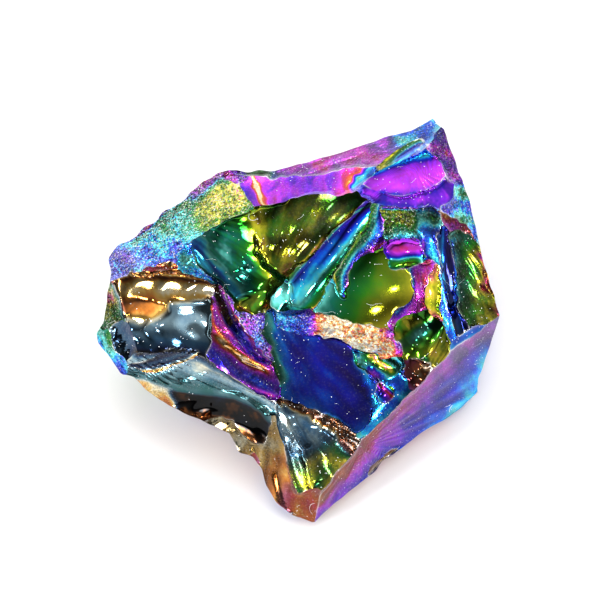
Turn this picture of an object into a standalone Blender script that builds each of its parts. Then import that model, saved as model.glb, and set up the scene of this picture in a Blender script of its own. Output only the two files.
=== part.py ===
"""A rough lump of obsidian, split into shell-shaped scars, with a metallic rainbow coat.

The broken front is a relief over a plane: spot heights give its broad form, and every scar is a
dished facet with its own outline that cuts into it, as flakes leave a stone one after another.
Behind the rim, the back is a set of leaning faces and scoops down to the flat face it rests on.
A subdivided cube is moved onto that form, and its edges are drawn to the arrises between scars.
"""

import math

import bmesh
import bpy
import numpy as np

MM = 0.001

# Driving dimensions, in millimetres: u runs right, v up and w towards the viewer. Outlines are
# given where they appear on the plane w = 0, seen from VIEW_DISTANCE in front of VIEW_CENTRE.
VIEW_CENTRE = (0.41, 3.2)
VIEW_DISTANCE = 331.0
LEAN = math.radians(25.0)
BASE_DEPTH = 24.5
BASE_CENTRE = (4.7, 0.6)
CORE_DEPTH = 14.0
WALL_SLOPE = 2.4
CREST_LIMIT = 3.5
SIDE_TAPER = 0.12
GRID_CUTS = 29
FRONT_SHARE = 0.86
SNAP_ROUNDS = 3

# Colour of the coat where it is thinnest in view, and its finish.
COAT_COLOUR = (0.08, 0.11, 0.42, 1.0)
COAT_METALLIC = 1.0
COAT_ROUGHNESS = 0.18

SILHOUETTE = [
    (21.8, 33.4), (23.6, 31.6), (24.8, 28.0), (26.3, 24.0), (27.8, 20.0), (28.8, 15.5), (30.0, 10.0),
    (31.6, 5.0), (32.7, 1.0), (31.6, -2.5), (30.4, -6.0), (29.3, -9.0), (29.2, -11.5), (26.5, -14.0),
    (23.5, -16.0), (19.0, -18.8), (15.0, -21.9), (13.6, -22.6), (12.4, -24.5), (10.0, -26.3),
    (5.5, -29.8), (2.3, -32.9), (-0.8, -31.9), (-4.0, -29.6), (-5.6, -26.6), (-6.3, -24.0),
    (-7.6, -22.3), (-10.0, -21.2), (-11.6, -18.2), (-14.0, -17.0), (-18.0, -15.4), (-22.8, -12.9),
    (-25.4, -11.0), (-27.2, -8.9), (-29.4, -8.6), (-30.6, -6.4), (-33.3, -3.2), (-33.3, -1.8),
    (-32.2, 0.0), (-31.6, 4.0), (-31.0, 8.0), (-31.4, 10.6), (-29.8, 12.8), (-27.0, 13.8),
    (-24.8, 15.8), (-22.3, 18.4), (-18.6, 20.4), (-16.4, 22.4), (-14.0, 24.2), (-11.7, 25.0),
    (-9.4, 24.7), (-4.2, 24.8), (-1.2, 25.6), (7.7, 28.1), (13.6, 30.2), (18.3, 31.4),
]

# Spot heights of the broken front: u, v and how far it stands towards the viewer.
SPOTS = [
    (22, 33, -9), (24.5, 29, -7), (16, 31, -10), (8, 28, -10), (0, 26, -9), (-5, 25, -7.5),
    (-11.5, 25, -6.5), (-8, 24, -3.5), (-2, 24, -3), (3, 24.2, -2.5), (7, 25.3, -2.5),
    (11.5, 25.8, -3), (18, 27, -3.5), (21, 27.5, -4), (24.3, 24.5, -3.5), (26.7, 23, -5),
    (28.3, 18, -4), (29.5, 12.5, -4), (31.2, 6, -4), (32.5, 1, -4), (-8, 18.3, 0.5), (-4, 19.3, 1.8),
    (2, 21, 2.5), (7.5, 21.7, 3), (12, 19.8, 4), (16, 19, 2.8), (22, 18.5, 2), (26, 17, -0.5),
    (-1, 14, 0), (-11, 11, -2), (-5.5, 8.3, -3), (-7, 3, -3.5), (5, 15, 3.5), (1, 11, 2.8),
    (-1.5, 8, 1.8), (-4.3, 4.3, 0.5), (-1.5, 2.7, 0.5), (3, 6, 1.3), (9, 12.5, 2.2), (6.2, 7, 1.6),
    (14.5, 13, 1.5), (18, 9, 0.8), (17.3, 2.5, -0.3), (12, 0.5, 0), (4, 1.2, 0.6), (20, 10, 1.5),
    (20, 6, 1.2), (21, 2.5, 0), (23.3, 0, 0.5), (24, 12, -0.5), (25, 5, -1.5), (29, 7, -2.5),
    (-3, 1, 0), (15.5, -2.7, -0.5), (-3, -1, -3.5), (1, -2.2, -4), (6, -3.5, -4.3), (12, -5.4, -4),
    (16, -5.2, -3), (0, -7, -5), (6, -11, -5.2), (11, -15, -4.6), (-3, -12, -4), (27, -3, -1.5),
    (20, -9.8, -1.5), (15, -15, -2), (11, -18.3, -2.5), (8, -23, -3.2), (3, -29, -5.5),
    (31, -6, -14), (29.5, -11.5, -17), (24, -16, -16), (19, -19, -14), (14, -22.8, -12),
    (8, -28, -11), (2.3, -33, -9.5), (-14, 5.5, 1.2), (-13.7, 1, 1.6), (-9, -4.2, 0.6),
    (-4.5, -8.3, -1), (-9.8, 2.5, -2.5), (-6, -2, -3.3), (-4.6, -6.5, -3.8), (-10, -9.7, -1),
    (-4, -13, -1.8), (-31, 7, -4), (-27, 8.2, -0.5), (-20, 7.8, 1), (-22, 1, -0.5), (-27, -6, -1.2),
    (-19, -4.8, 0.8), (-15, -6.5, 0.8), (-32.5, 0, -6), (-33.5, -2.3, -7), (-29, -8.5, -5),
    (-14, -12.5, -4), (-8.5, -16.5, -4.6), (-23, -10.5, -4.5), (-19, -14.7, -7), (-13, -16.7, -7.5),
    (-10, -21.5, -8), (-6, -25, -8.5), (-3, -30, -9), (-1, -32, -9), (-2.7, -20, -2.4),
    (-1.2, -28, -5.2), (8.3, -22.3, -3), (-31.5, 11, -8), (-26, 14.7, -8), (-20, 19.5, -8),
    (-15, 23.3, -7), (-12, 16.5, 0), (-18.5, 12.7, -1), (-15, 8.3, -1.2), (-24, 9.7, -1.8),
    (-22, 14, -3.6),
]

# Each scar: how deep its middle is dished, then its outline.
SCARS = {
    "top_flank": (0.5, [(-12, 26), (-3.5, 26), (9, 30), (19, 34), (24, 35), (22.4, 31), (20, 28.2), (15.5, 26.4),
                        (11.5, 25.9), (7, 25.3), (3, 24.2), (-2, 24.1), (-8, 24)]),
    "violet_band": (0.5, [(-11.5, 24.6), (-8, 24), (-2, 24.1), (3, 24.2), (7, 25.3), (11.5, 25.9), (12.3, 24.6),
                          (9.5, 22.2), (7.5, 21.7), (2, 21), (-4, 19.3), (-8, 18.3), (-9, 20.3), (-10, 22.8)]),
    "lens_chip": (0.9, [(10.4, 22.4), (12.3, 24.6), (15, 26), (18, 27), (21, 27.4), (23.4, 25.8), (24.2, 23.8),
                        (22, 21.6), (18, 20.8), (13, 21.2)]),
    "lens_lip": (0.2, [(10.4, 22.4), (13, 21.2), (18, 20.8), (22, 21.6), (24.2, 23.8), (25.4, 22.8), (24.8, 20),
                       (22, 18.6), (16, 19), (12.2, 19.6), (9.5, 21.5)]),
    "end_chip": (0.3, [(25.4, 22.8), (27.3, 23), (29, 18), (30, 13), (28.6, 13.2), (27.2, 15.8), (24.3, 18),
                       (22, 18.6), (24.8, 20)]),
    "apex_flank": (0.3, [(21, 27.4), (22.4, 31), (26, 33), (28, 26), (27.3, 23), (25.4, 22.8), (24.2, 23.8),
                         (23.4, 25.8)]),
    "apex_blade": (0.6, [(13, 25.4), (15.2, 27.5), (17.4, 29.6), (21.8, 31.3), (19.6, 28.4), (16.4, 26.5)]),
    "grain_crown": (-0.4, [(-20, 22), (-15, 26), (-11.5, 25.5), (-10, 22.8), (-9, 20.3), (-8, 18.3), (-11, 16.6),
                           (-15.5, 15.2), (-17.2, 17.6), (-18.4, 20.4)]),
    "grain_slope": (-0.3, [(-20, 22), (-18.4, 20.4), (-17.2, 17.6), (-15.5, 15.2), (-18.6, 12.8), (-20.4, 9.4),
                           (-24.5, 9.6), (-27, 12), (-28, 15), (-24.5, 18.5)]),
    "grain_foot": (-0.5, [(-28, 15), (-27, 12), (-24.5, 9.6), (-26.2, 8.2), (-31, 7.2), (-34, 9), (-33, 13)]),
    "grain_toe": (0.2, [(-20.4, 9.4), (-18.6, 12.8), (-17.4, 11), (-16, 9), (-12.2, 6), (-16, 7.2), (-20.4, 8)]),
    "ember_notch": (0.4, [(-24.5, 9.6), (-20.4, 9.4), (-20.4, 8), (-24, 8), (-26.2, 8.2)]),
    "left_green": (1.4, [(-18.6, 12.8), (-15.5, 15.2), (-11, 16.6), (-8, 18.3), (-7.4, 14), (-6.4, 10.4),
                         (-4.4, 7.2), (-6.4, 5.4), (-10, 3.2), (-12.2, 6), (-16, 9), (-17.4, 11)]),
    "upper_green": (1.6, [(-8, 18.3), (-4, 19.3), (2, 21), (7.5, 21.7), (12.2, 20), (8.2, 17.5), (5.7, 15.5),
                          (3.3, 13), (1.6, 11), (-0.6, 8.8), (-4.4, 7.2), (-6.4, 10.4), (-7.4, 14)]),
    "low_green": (0.5, [(-10, 3.2), (-6.4, 5.4), (-4.4, 7.2), (-2.8, 6.4), (-4.8, 4), (-4.8, 1.6), (-6.4, 0.6),
                        (-8, 1.4)]),
    "flute_front": (1.5, [(12.4, 19.7), (8.2, 17.5), (5.7, 15.5), (3.3, 13), (1.6, 11), (-0.4, 8.8), (-2.8, 6.4),
                          (-1, 5.4), (-1.6, 2.8), (2, 2), (3.6, 3.4), (4.6, 6), (5.6, 8), (7, 10.4),
                          (8.6, 12.2), (10.7, 15.5), (12, 18)]),
    "flute_toe": (0.2, [(-2.8, 6.4), (-1, 5.4), (-1.6, 2.8), (-4.4, 1.6), (-4.8, 4)]),
    "flute_inner": (1.0, [(12.4, 19.7), (12, 18), (10.7, 15.5), (8.6, 12.2), (7, 10.4), (5.6, 8), (5.3, 6.9),
                          (6, 5.2), (7.2, 3.6), (8, 6), (8.2, 8.1), (9.8, 10.6), (12.3, 12), (14.6, 13.4),
                          (13.8, 16), (13.6, 18.8)]),
    "dish": (1.0, [(3.6, 3.4), (2, 2), (3.6, 1.1), (8, 0.5), (12, -0.9), (14.8, -1.6), (15.8, 1.6), (17.8, 3.2),
                   (18.4, 6.4), (17.6, 8.8), (14.8, 9.4), (13.8, 12.4), (12.3, 12), (9.8, 10.6), (8.2, 8.1),
                   (8, 6), (7.2, 3.6), (6, 5.2), (5.3, 6.9), (4.6, 6)]),
    "brow": (0.2, [(13.6, 18.8), (13.6, 16), (13.8, 13.8), (18.6, 13.8), (19, 16), (19.4, 18.7), (16, 19)]),
    "eye": (0.8, [(13.6, 12.6), (16.6, 13.6), (20.2, 13), (20.2, 11.2), (17, 10.4), (14.6, 10.4)]),
    "eye_lower": (0.4, [(14.6, 10.4), (17, 10.4), (20.2, 11.2), (20, 9.6), (17.8, 8.8), (15, 8.6)]),
    "fork": (0.3, [(17.8, 8.8), (20, 9.6), (22.4, 10), (21.4, 7.8), (20.4, 4.6), (21, 2.2), (17.2, 1),
                   (15.2, -1.6), (14.4, 0), (15.8, 1.6), (18, 3.6), (18.6, 6.4)]),
    "leaf": (0.5, [(22.4, 9.4), (23, 6), (22.9, 3), (23.5, 0), (21, 2.2), (20.4, 4.6), (21.4, 7.8)]),
    "rib": (-0.2, [(20.2, 14), (22.2, 13.4), (23.2, 9), (23.8, 5), (24.6, 1.4), (25.4, -2), (24.6, -3.4),
                   (23.5, 0), (22.9, 3), (23, 6), (22.4, 9.4), (20.2, 11.2)]),
    "knot": (0.5, [(19.4, 18.7), (19, 16), (18.6, 13.8), (20.2, 14), (22.2, 13.4), (23.6, 16), (22.6, 18.4)]),
    "dark_flute": (0.9, [(23.6, 16), (25, 13), (25.6, 8), (25.4, 3), (26.4, 0.6), (28.6, -1.2), (25.4, -2),
                         (24.6, 1.4), (23.8, 5), (23.2, 9), (22.2, 13.4)]),
    "right_green": (1.1, [(25, 13), (25, 15), (27.6, 14.2), (29.6, 11), (31, 6.5), (33, 2), (32.5, 0.4),
                          (28.6, -0.6), (26.4, 0.6), (25.4, 3), (25.6, 8)]),
    "rust_corner": (0.3, [(22.6, 18.4), (24.3, 18), (27.2, 15.8), (28.6, 13.2), (27.6, 14.2), (25, 15),
                          (23.6, 16)]),
    "drum": (1.1, [(15.2, -1.6), (17.2, 1), (21, 2.2), (23.5, 0), (21.8, -3.6), (20, -6.4), (17, -6.4),
                   (16.6, -4.2)]),
    "gold_sliver": (0.3, [(23.5, 0), (24.6, -3.4), (24.8, -5), (22.4, -7.4), (20, -6.4), (21.8, -3.6)]),
    "navy_strip": (0.2, [(24.6, -3.4), (25.4, -2), (28.6, -1.2), (32.5, 0.4), (28, -2.4), (24.8, -5)]),
    "pit": (0.6, [(17, -6.4), (20, -6.4), (22.4, -7.4), (18.4, -11.4), (17.4, -9.4)]),
    "ledge": (-0.2, [(-4.6, 1.6), (0, 1.3), (3.6, 1.1), (8, 0.5), (12, -0.9), (14.8, -1.6), (16.6, -4.2),
                     (15, -5.6), (12, -5.2), (6, -3.3), (1, -2.2), (-3.4, -0.8)]),
    "ripple_steps": (0.9, [(8.6, -4.4), (12, -5.2), (15, -5.6), (16.8, -6.6), (16.4, -8), (13.4, -9.6),
                           (10.8, -8.2), (9, -6.2)]),
    "blue_floor": (0.5, [(-4.6, 1.6), (-3.4, -0.8), (1, -2.2), (6, -3.3), (8.6, -4.4), (9, -6.2), (10.8, -8.2),
                         (13, -10), (12.4, -13.2), (9.4, -17.8), (4, -15), (-3, -12.8), (-3.4, -9), (-4.4, -6.4),
                         (-6, -2), (-6.4, 0.6)]),
    "cyan_foot": (0.5, [(13.4, -9.6), (16.4, -8), (17.4, -9.4), (18.4, -11.4), (15, -15), (11, -18.3),
                        (9.4, -17.8), (12.4, -13.2), (13, -10)]),
    "frost_edge": (0.0, [(-12, 4.6), (-10, 3.2), (-8, 1.4), (-6.4, 0.6), (-6, -2), (-4.4, -6.4), (-7, -3.6),
                         (-10, 0.4)]),
    "plum_face": (0.5, [(-14.2, 5.6), (-12.2, 6), (-12, 4.6), (-10, 0.4), (-7, -3.6), (-4.4, -6.6), (-6.6, -5.8),
                        (-9.4, -3.8), (-12.4, -1), (-13.6, 2)]),
    "gold_arris": (0.0, [(-14.8, 4), (-14.2, 5.6), (-13.6, 2), (-12.4, -1), (-9.4, -3.8), (-6.6, -5.8),
                         (-4, -7.8), (-5.4, -8), (-9.4, -6), (-12.6, -3.6), (-14.6, -0.6)]),
    "violet_face": (0.4, [(-14.6, -0.6), (-12.6, -3.6), (-9.4, -6), (-5.4, -8), (-4, -7.8), (-3.2, -9),
                          (-3.4, -12.6), (-6, -11.8), (-10, -9.8), (-14.8, -6.8)]),
    "gold_crest": (0.4, [(-32, 7), (-27, 8.2), (-20.4, 8), (-16, 7.2), (-12.2, 6), (-14.4, 4.2), (-18, 3.6),
                         (-21, 3.4), (-26, 4.2), (-29.6, 3)]),
    "amber_patch": (0.3, [(-29.6, 3), (-26, 4.2), (-21, 3.4), (-21.4, 1.4), (-25, -0.4), (-28.6, 0.4)]),
    "steel_bowl": (1.2, [(-21.4, 1.4), (-21, 3.4), (-18, 3.6), (-14.8, 4), (-14.6, -0.6), (-14.8, -4),
                         (-15.6, -6), (-19, -4.6), (-26.6, -5.2), (-29, 0), (-25, -0.4)]),
    "left_rim": (-0.2, [(-34, 1), (-34, 7), (-32, 7), (-29.6, 3), (-28.8, 0.3), (-31, -1), (-34, -1.2)]),
    "pearl_chip": (0.7, [(-31, -1), (-28.8, 0.3), (-26.6, -5.2), (-28.4, -6.8), (-30.6, -4)]),
    "rainbow_chip": (0.1, [(-34, -1.2), (-31, -1), (-30.6, -4), (-28.4, -6.8), (-28.6, -9.5), (-31, -8),
                           (-35, -4)]),
    "steel_band": (0.5, [(-28.4, -6.8), (-26.6, -5.2), (-19, -4.6), (-15.6, -6), (-10, -9.8), (-3.8, -13.4),
                         (-4.6, -15.4), (-7.4, -13), (-12, -11.4), (-20, -11), (-26.5, -9.5), (-28.6, -9.5)]),
    "black_trough": (0.8, [(-20, -11), (-12, -11.4), (-7.4, -13), (-4.6, -15.4), (-5.8, -20), (-8.4, -19.6),
                           (-11, -16.4), (-14.2, -16.2), (-20.5, -13.6)]),
    "bright_heel": (0.2, [(-26.5, -9.5), (-20, -11), (-20.5, -13.6), (-22, -15), (-28, -11)]),
    "amber_skirt": (0.7, [(-3.8, -13.4), (-2.8, -20), (-1.2, -28.3), (-1.4, -33), (-5, -32), (-8, -25),
                          (-10.5, -22.5), (-14, -17.5), (-14.2, -16.2), (-11, -16.4), (-8.4, -19.6),
                          (-5.8, -20), (-4.6, -15.4)]),
    "fan_left": (0.5, [(-3.8, -13.4), (-1, -16.4), (2.4, -23), (2.6, -27.8), (-1.2, -28.3), (-2.8, -20)]),
    "fan_right": (0.5, [(-3.4, -12.8), (1.4, -15.4), (5.2, -18.4), (8.4, -22.6), (5.4, -25.4), (2.6, -27.8),
                        (2.4, -23), (-1, -16.4)]),
    "tip_face": (0.2, [(-1.2, -28.3), (2.6, -27.8), (3.2, -29), (2.4, -34), (-1.4, -33)]),
    "splinters": (0.1, [(-3.4, -12.8), (4, -15), (9.4, -17.8), (10.4, -18.8), (8.4, -22.6), (5.2, -18.4),
                        (1.4, -15.4)]),
    "long_flank": (0.6, [(33.5, 1), (28, -2.4), (24.8, -5), (22.4, -7.4), (18.4, -11.4), (15, -15), (11, -18.3),
                         (10.4, -18.8), (8.4, -22.6), (5.4, -25.4), (3.2, -29), (2.4, -34), (12, -30), (25, -20),
                         (33, -14), (35, -4)]),
}

# Faces of the back: the way each one looks, as a turn around the rim and a lean away from the
# viewer in degrees, and how far it stands off the rim.
BACK_FACES = [
    (104, 14, 0.2), (60, 38, -0.5), (18, 22, 0.2), (-16, 16, 0.3), (-52, 34, 0.3), (-92, 52, 0.5),
    (-129, 40, 0.3), (-160, 50, 0.0), (178, 28, 0.3), (150, 44, 0.0), (128, 24, 0.2), (95, 50, -1.5),
    (0, 50, -1.0),
]

# Scoops out of the back: middle of each ball and its radius.
SCOOPS = [
    ((2, 47, -27), 20.0),
    ((-22, 33, -25), 15.0),
    ((45, 14, -22), 18.5),
    ((-47, 2, -24), 19.0),
    ((42, -12, -33), 20.0),
    ((20, 42, -38), 16.0),
]


def curve_through(points, steps=4):
    """Return a smooth closed curve through the points."""
    here = np.array(points, float)
    before = np.roll(here, 1, 0)
    after = np.roll(here, -1, 0)
    later = np.roll(here, -2, 0)
    rows = []
    for step in range(steps):
        t = step / steps
        slope = after - before
        square = 2 * before - 5 * here + 4 * after - later
        cube = 3 * here - before - 3 * after + later
        rows.append(0.5 * (2 * here + slope * t + square * t**2 + cube * t**3))
    return np.stack(rows, 1).reshape(-1, 2)


def outside(p, outline):
    """Return the distance of flat points from an outline, negative inside it."""
    start = outline
    edge = np.roll(outline, -1, 0) - start
    arm = p[:, None] - start[None]
    t = np.clip((arm * edge).sum(-1) / (edge * edge).sum(-1), 0, 1)
    near = np.sqrt(((arm - t[..., None] * edge) ** 2).sum(-1).min(1))
    crosses = (arm[..., 1] >= 0) != (arm[..., 1] >= edge[:, 1])
    side = edge[:, 0] * arm[..., 1] - edge[:, 1] * arm[..., 0]
    left = np.where(edge[:, 1] > 0, side > 0, side < 0)
    odd = (crosses & left).sum(1) % 2 == 1
    return np.where(odd, -near, near)


def plate_kernel(squared):
    """Return the bending shape of a thin plate for squared distances."""
    return 0.5 * squared * np.log(squared + 1e-9)


class Relief:
    """The broken front: a height over the u, v plane and the scar that makes it."""

    def __init__(self):
        self.spots = np.array(SPOTS, float)
        self.weights = self.bend_plate()
        self.scars = [self.fit_scar(dish, outline) for dish, outline in SCARS.values()]

    def bend_plate(self):
        """Bend a thin plate close to the spot heights."""
        flat = self.spots[:, :2]
        count = len(flat)
        system = np.zeros((count + 3, count + 3))
        gaps = ((flat[:, None] - flat[None]) ** 2).sum(-1)
        system[:count, :count] = plate_kernel(gaps) + 0.5 * np.eye(count)
        system[:count, count] = 1
        system[count, :count] = 1
        system[:count, count + 1:] = flat
        system[count + 1:, :count] = flat.T
        heights = np.append(self.spots[:, 2], (0, 0, 0))
        return np.linalg.solve(system, heights)

    def broad(self, p):
        """Return the height of the broad form."""
        count = len(self.spots)
        gaps = ((p[:, None] - self.spots[None, :, :2]) ** 2).sum(-1)
        return plate_kernel(gaps) @ self.weights[:count] + self.weights[count] + p @ self.weights[count + 1:]

    def fit_scar(self, dish, outline):
        """Lay a plane through a scar's outline and find its two axes."""
        line = curve_through(outline)
        middle = line.mean(0)
        arm = line - middle
        spread, axes = np.linalg.eigh(arm.T @ arm / len(arm))
        reach = np.sqrt(2 * spread)
        rows = np.c_[np.ones(len(arm)), arm]
        plane = np.linalg.lstsq(rows, self.broad(line), rcond=None)[0]
        return dish, line, middle, axes, reach, plane

    def height(self, p):
        """Return the height at flat points and the number of the scar there."""
        top = self.broad(p) + CREST_LIMIT
        scar_at = np.full(len(p), -1)
        margin = 4.0
        for number, (dish, line, middle, axes, reach, plane) in enumerate(self.scars):
            low = line.min(0) - margin
            high = line.max(0) + margin
            close = np.where(((p > low) & (p < high)).all(1))[0]
            if not len(close):
                continue
            arm = p[close] - middle
            along = (arm @ axes) / reach
            level = plane[0] + arm @ plane[1:] - dish * (1 - (along**2).sum(1))
            level = level + WALL_SLOPE * np.maximum(0, outside(p[close], line))
            lower = level < top[close]
            top[close[lower]] = level[lower]
            scar_at[close[lower]] = number
        return top, scar_at


def spread(point):
    """Carry points from where they appear on the plane to where they are."""
    centre = np.array(VIEW_CENTRE)
    flat = centre + (point[:, :2] - centre) * (1 - point[:, 2:] / VIEW_DISTANCE)
    return np.c_[flat, point[:, 2]]


class Stone:
    """The whole surface, for any direction on the unit ball."""

    def __init__(self):
        self.relief = Relief()
        self.rim = np.array(SILHOUETTE, float)
        self.rim_polar = math.acos(1 - 2 * FRONT_SHARE)
        turns = np.linspace(-math.pi, math.pi, 721)
        ring = self.rim_points(turns)
        self.rim_3d = spread(np.c_[ring, self.relief.height(ring)[0]])
        self.faces = []
        for turn, lean, stand_off in BACK_FACES:
            turn = math.radians(turn)
            lean = math.radians(lean)
            flat = math.cos(lean)
            normal = np.array((flat * math.cos(turn), flat * math.sin(turn), -math.sin(lean)))
            self.faces.append((normal, (self.rim_3d @ normal).max() + stand_off))
        down = np.array((0, -math.sin(LEAN), -math.cos(LEAN)))
        self.faces.append((down, BASE_DEPTH))

    def rim_points(self, turn):
        """Return where a ray at each turn leaves the silhouette."""
        ray = np.c_[np.cos(turn), np.sin(turn)]
        start = self.rim
        edge = np.roll(start, -1, 0) - start
        across = ray[:, None, 0] * edge[None, :, 1] - ray[:, None, 1] * edge[None, :, 0]
        reach = (start[:, 0] * edge[:, 1] - start[:, 1] * edge[:, 0])[None] / across
        place = (start[None, :, 0] * ray[:, None, 1] - start[None, :, 1] * ray[:, None, 0]) / across
        hit = (reach > 0) & (place >= -1e-9) & (place <= 1 + 1e-9)
        return ray * np.where(hit, reach, 0).max(1)[:, None]

    def back_sides(self, p, rim_radius, rim_height):
        """Return how far points lie outside each limit of the back."""
        limits = [np.hypot(p[:, 0], p[:, 1]) - rim_radius + SIDE_TAPER * (rim_height - p[:, 2])]
        for normal, offset in self.faces:
            limits.append(p @ normal - offset)
        for middle, radius in SCOOPS:
            limits.append(radius - np.linalg.norm(p - np.array(middle, float), axis=1))
        return np.stack(limits, 1)

    def place(self, q):
        """Return the surface point and the number of its scar or face for each direction."""
        polar = np.arccos(np.clip(q[:, 2], -1, 1))
        turn = np.arctan2(q[:, 1], q[:, 0])
        rim = self.rim_points(turn)
        point = np.zeros((len(q), 3))
        number = np.zeros(len(q), int)

        front = np.where(polar < self.rim_polar)[0]
        share = np.sqrt((1 - np.cos(polar[front])) / (2 * FRONT_SHARE))
        flat = rim[front] * share[:, None]
        height, scar_at = self.relief.height(flat)
        point[front] = spread(np.c_[flat, height])
        number[front] = scar_at

        back = np.where(polar >= self.rim_polar)[0]
        if len(back):
            core = np.array((0, 0, -CORE_DEPTH))
            edge = spread(np.c_[rim[back], self.relief.height(rim[back])[0]])
            rim_height = edge[:, 2]
            rim_radius = np.hypot(edge[:, 0], edge[:, 1])
            first = unit(edge - core)
            swing = np.arccos(np.clip(-first[:, 2], -1, 1))
            share = (polar[back] - self.rim_polar) / (math.pi - self.rim_polar)
            ray = np.sin((1 - share) * swing)[:, None] * first
            ray[:, 2] -= np.sin(share * swing)
            ray = unit(ray)
            low = np.zeros(len(back))
            high = np.full(len(back), 80.0)
            for _ in range(30):
                mid = (low + high) / 2
                out = self.back_sides(core + mid[:, None] * ray, rim_radius, rim_height).max(1) > 0
                high = np.where(out, mid, high)
                low = np.where(out, low, mid)
            point[back] = core + low[:, None] * ray
            sides = self.back_sides(point[back], rim_radius, rim_height)
            number[back] = 1000 + sides.argmax(1)
        return point, number


def unit(q):
    """Return the directions at length one."""
    return q / np.linalg.norm(q, axis=1, keepdims=True)


def draw_to_arrises(stone, q, edges):
    """Move the vertices nearest to the arrises onto them and even out the rest."""
    number = stone.place(q)[1]
    a, b = edges[number[edges[:, 0]] != number[edges[:, 1]]].T
    low = np.zeros(len(a))
    high = np.ones(len(a))
    for _ in range(12):
        mid = (low + high) / 2
        here = unit(q[a] + mid[:, None] * (q[b] - q[a]))
        same = stone.place(here)[1] == number[a]
        low = np.where(same, mid, low)
        high = np.where(same, high, mid)
    mid = (low + high) / 2
    crossing = unit(q[a] + mid[:, None] * (q[b] - q[a]))
    nearer = np.where(mid < 0.5, a, b)
    gap = np.minimum(mid, 1 - mid)
    moved = q.copy()
    for k in np.argsort(-gap):
        moved[nearer[k]] = crossing[k]
    free = np.ones(len(q), bool)
    free[nearer] = False
    total = np.zeros_like(q)
    count = np.zeros(len(q))
    for start, end in (edges.T, edges.T[::-1]):
        np.add.at(total, start, moved[end])
        np.add.at(count, start, 1)
    evened = unit(0.5 * moved + 0.5 * total / count[:, None])
    moved[free] = evened[free]
    return moved


def turn_thin_triangles(bm):
    """Turn the long edge of every triangle that came out as a sliver."""
    for _ in range(4):
        turned = set()
        edges = []
        for face in bm.faces:
            longest = max(face.edges, key=lambda edge: edge.calc_length())
            height = 2 * face.calc_area() / longest.calc_length()
            near = set(longest.link_faces)
            if height < 0.12 * longest.calc_length() and not near & turned:
                turned |= near
                edges.append(longest)
        if not edges:
            break
        bmesh.ops.rotate_edges(bm, edges=edges, use_ccw=True)


def to_world(point):
    """Tilt the stone back onto its resting face and set that face's middle at the origin."""
    u, v, w = point.T
    y = v * math.cos(LEAN) - w * math.sin(LEAN)
    z = v * math.sin(LEAN) + w * math.cos(LEAN)
    return np.c_[u - BASE_CENTRE[0], y - BASE_CENTRE[1], z + BASE_DEPTH] * MM


def coat_material():
    """Make the metallic coat."""
    material = bpy.data.materials.new("rainbow_coat")
    material.use_nodes = True
    shader = material.node_tree.nodes["Principled BSDF"]
    shader.inputs["Base Color"].default_value = COAT_COLOUR
    shader.inputs["Metallic"].default_value = COAT_METALLIC
    shader.inputs["Roughness"].default_value = COAT_ROUGHNESS
    material.diffuse_color = COAT_COLOUR
    return material


def build_stone():
    """Move a subdivided cube onto the stone's surface."""
    bm = bmesh.new()
    bmesh.ops.create_cube(bm, size=2.0)
    bmesh.ops.subdivide_edges(bm, edges=bm.edges[:], cuts=GRID_CUTS, use_grid_fill=True)
    bmesh.ops.triangulate(bm, faces=bm.faces[:])
    bm.verts.index_update()
    cube = np.array([vert.co[:] for vert in bm.verts])
    q = unit(np.tan(cube * math.pi / 4))
    edges = np.array([[vert.index for vert in edge.verts] for edge in bm.edges])
    stone = Stone()
    for _ in range(SNAP_ROUNDS):
        q = draw_to_arrises(stone, q, edges)
    for vert, place in zip(bm.verts, to_world(stone.place(q)[0])):
        vert.co = place
    turn_thin_triangles(bm)
    bm.normal_update()
    mesh = bpy.data.meshes.new("obsidian_chunk")
    bm.to_mesh(mesh)
    bm.free()
    mesh.materials.append(coat_material())
    return bpy.data.objects.new("obsidian_chunk", mesh)


for old in list(bpy.data.objects):
    bpy.data.objects.remove(old, do_unlink=True)

collection = bpy.data.collections.new("rainbow_obsidian")
bpy.context.scene.collection.children.link(collection)
collection.objects.link(build_stone())
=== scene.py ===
import math

import bmesh
import bpy
import numpy as np
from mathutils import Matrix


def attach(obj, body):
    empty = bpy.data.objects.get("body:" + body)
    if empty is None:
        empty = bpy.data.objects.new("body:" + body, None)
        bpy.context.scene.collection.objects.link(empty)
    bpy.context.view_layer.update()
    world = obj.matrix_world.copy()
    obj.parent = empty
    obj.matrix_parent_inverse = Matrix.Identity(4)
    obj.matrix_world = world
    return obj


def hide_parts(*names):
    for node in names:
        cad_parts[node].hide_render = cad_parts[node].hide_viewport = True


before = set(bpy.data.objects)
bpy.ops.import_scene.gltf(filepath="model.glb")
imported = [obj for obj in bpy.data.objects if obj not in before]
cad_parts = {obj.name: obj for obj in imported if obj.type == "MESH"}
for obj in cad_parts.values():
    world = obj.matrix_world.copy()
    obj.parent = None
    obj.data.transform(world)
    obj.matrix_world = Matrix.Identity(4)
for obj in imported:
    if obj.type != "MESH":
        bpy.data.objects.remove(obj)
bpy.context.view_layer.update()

# Camera
# The stone lies on its resting face with its broken front leaning back, so the camera looks down
# at it square on to that front, from about a third of a metre.

# Lean of the front, how deep under it and how far off its middle the resting face lies, the middle
# of the view and its distance, all in millimetres, and the scale of the picture.
MM = 0.001
LEAN = math.radians(25.0)
BASE_DEPTH = 24.5
BASE_CENTRE = (4.7, 0.6)
VIEW_CENTRE = (0.41, 3.2)
VIEW_DISTANCE = 331.0
PIXELS_PER_MM = 6.1
IMAGE_SIDE = 605
SENSOR = 36.0


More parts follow.
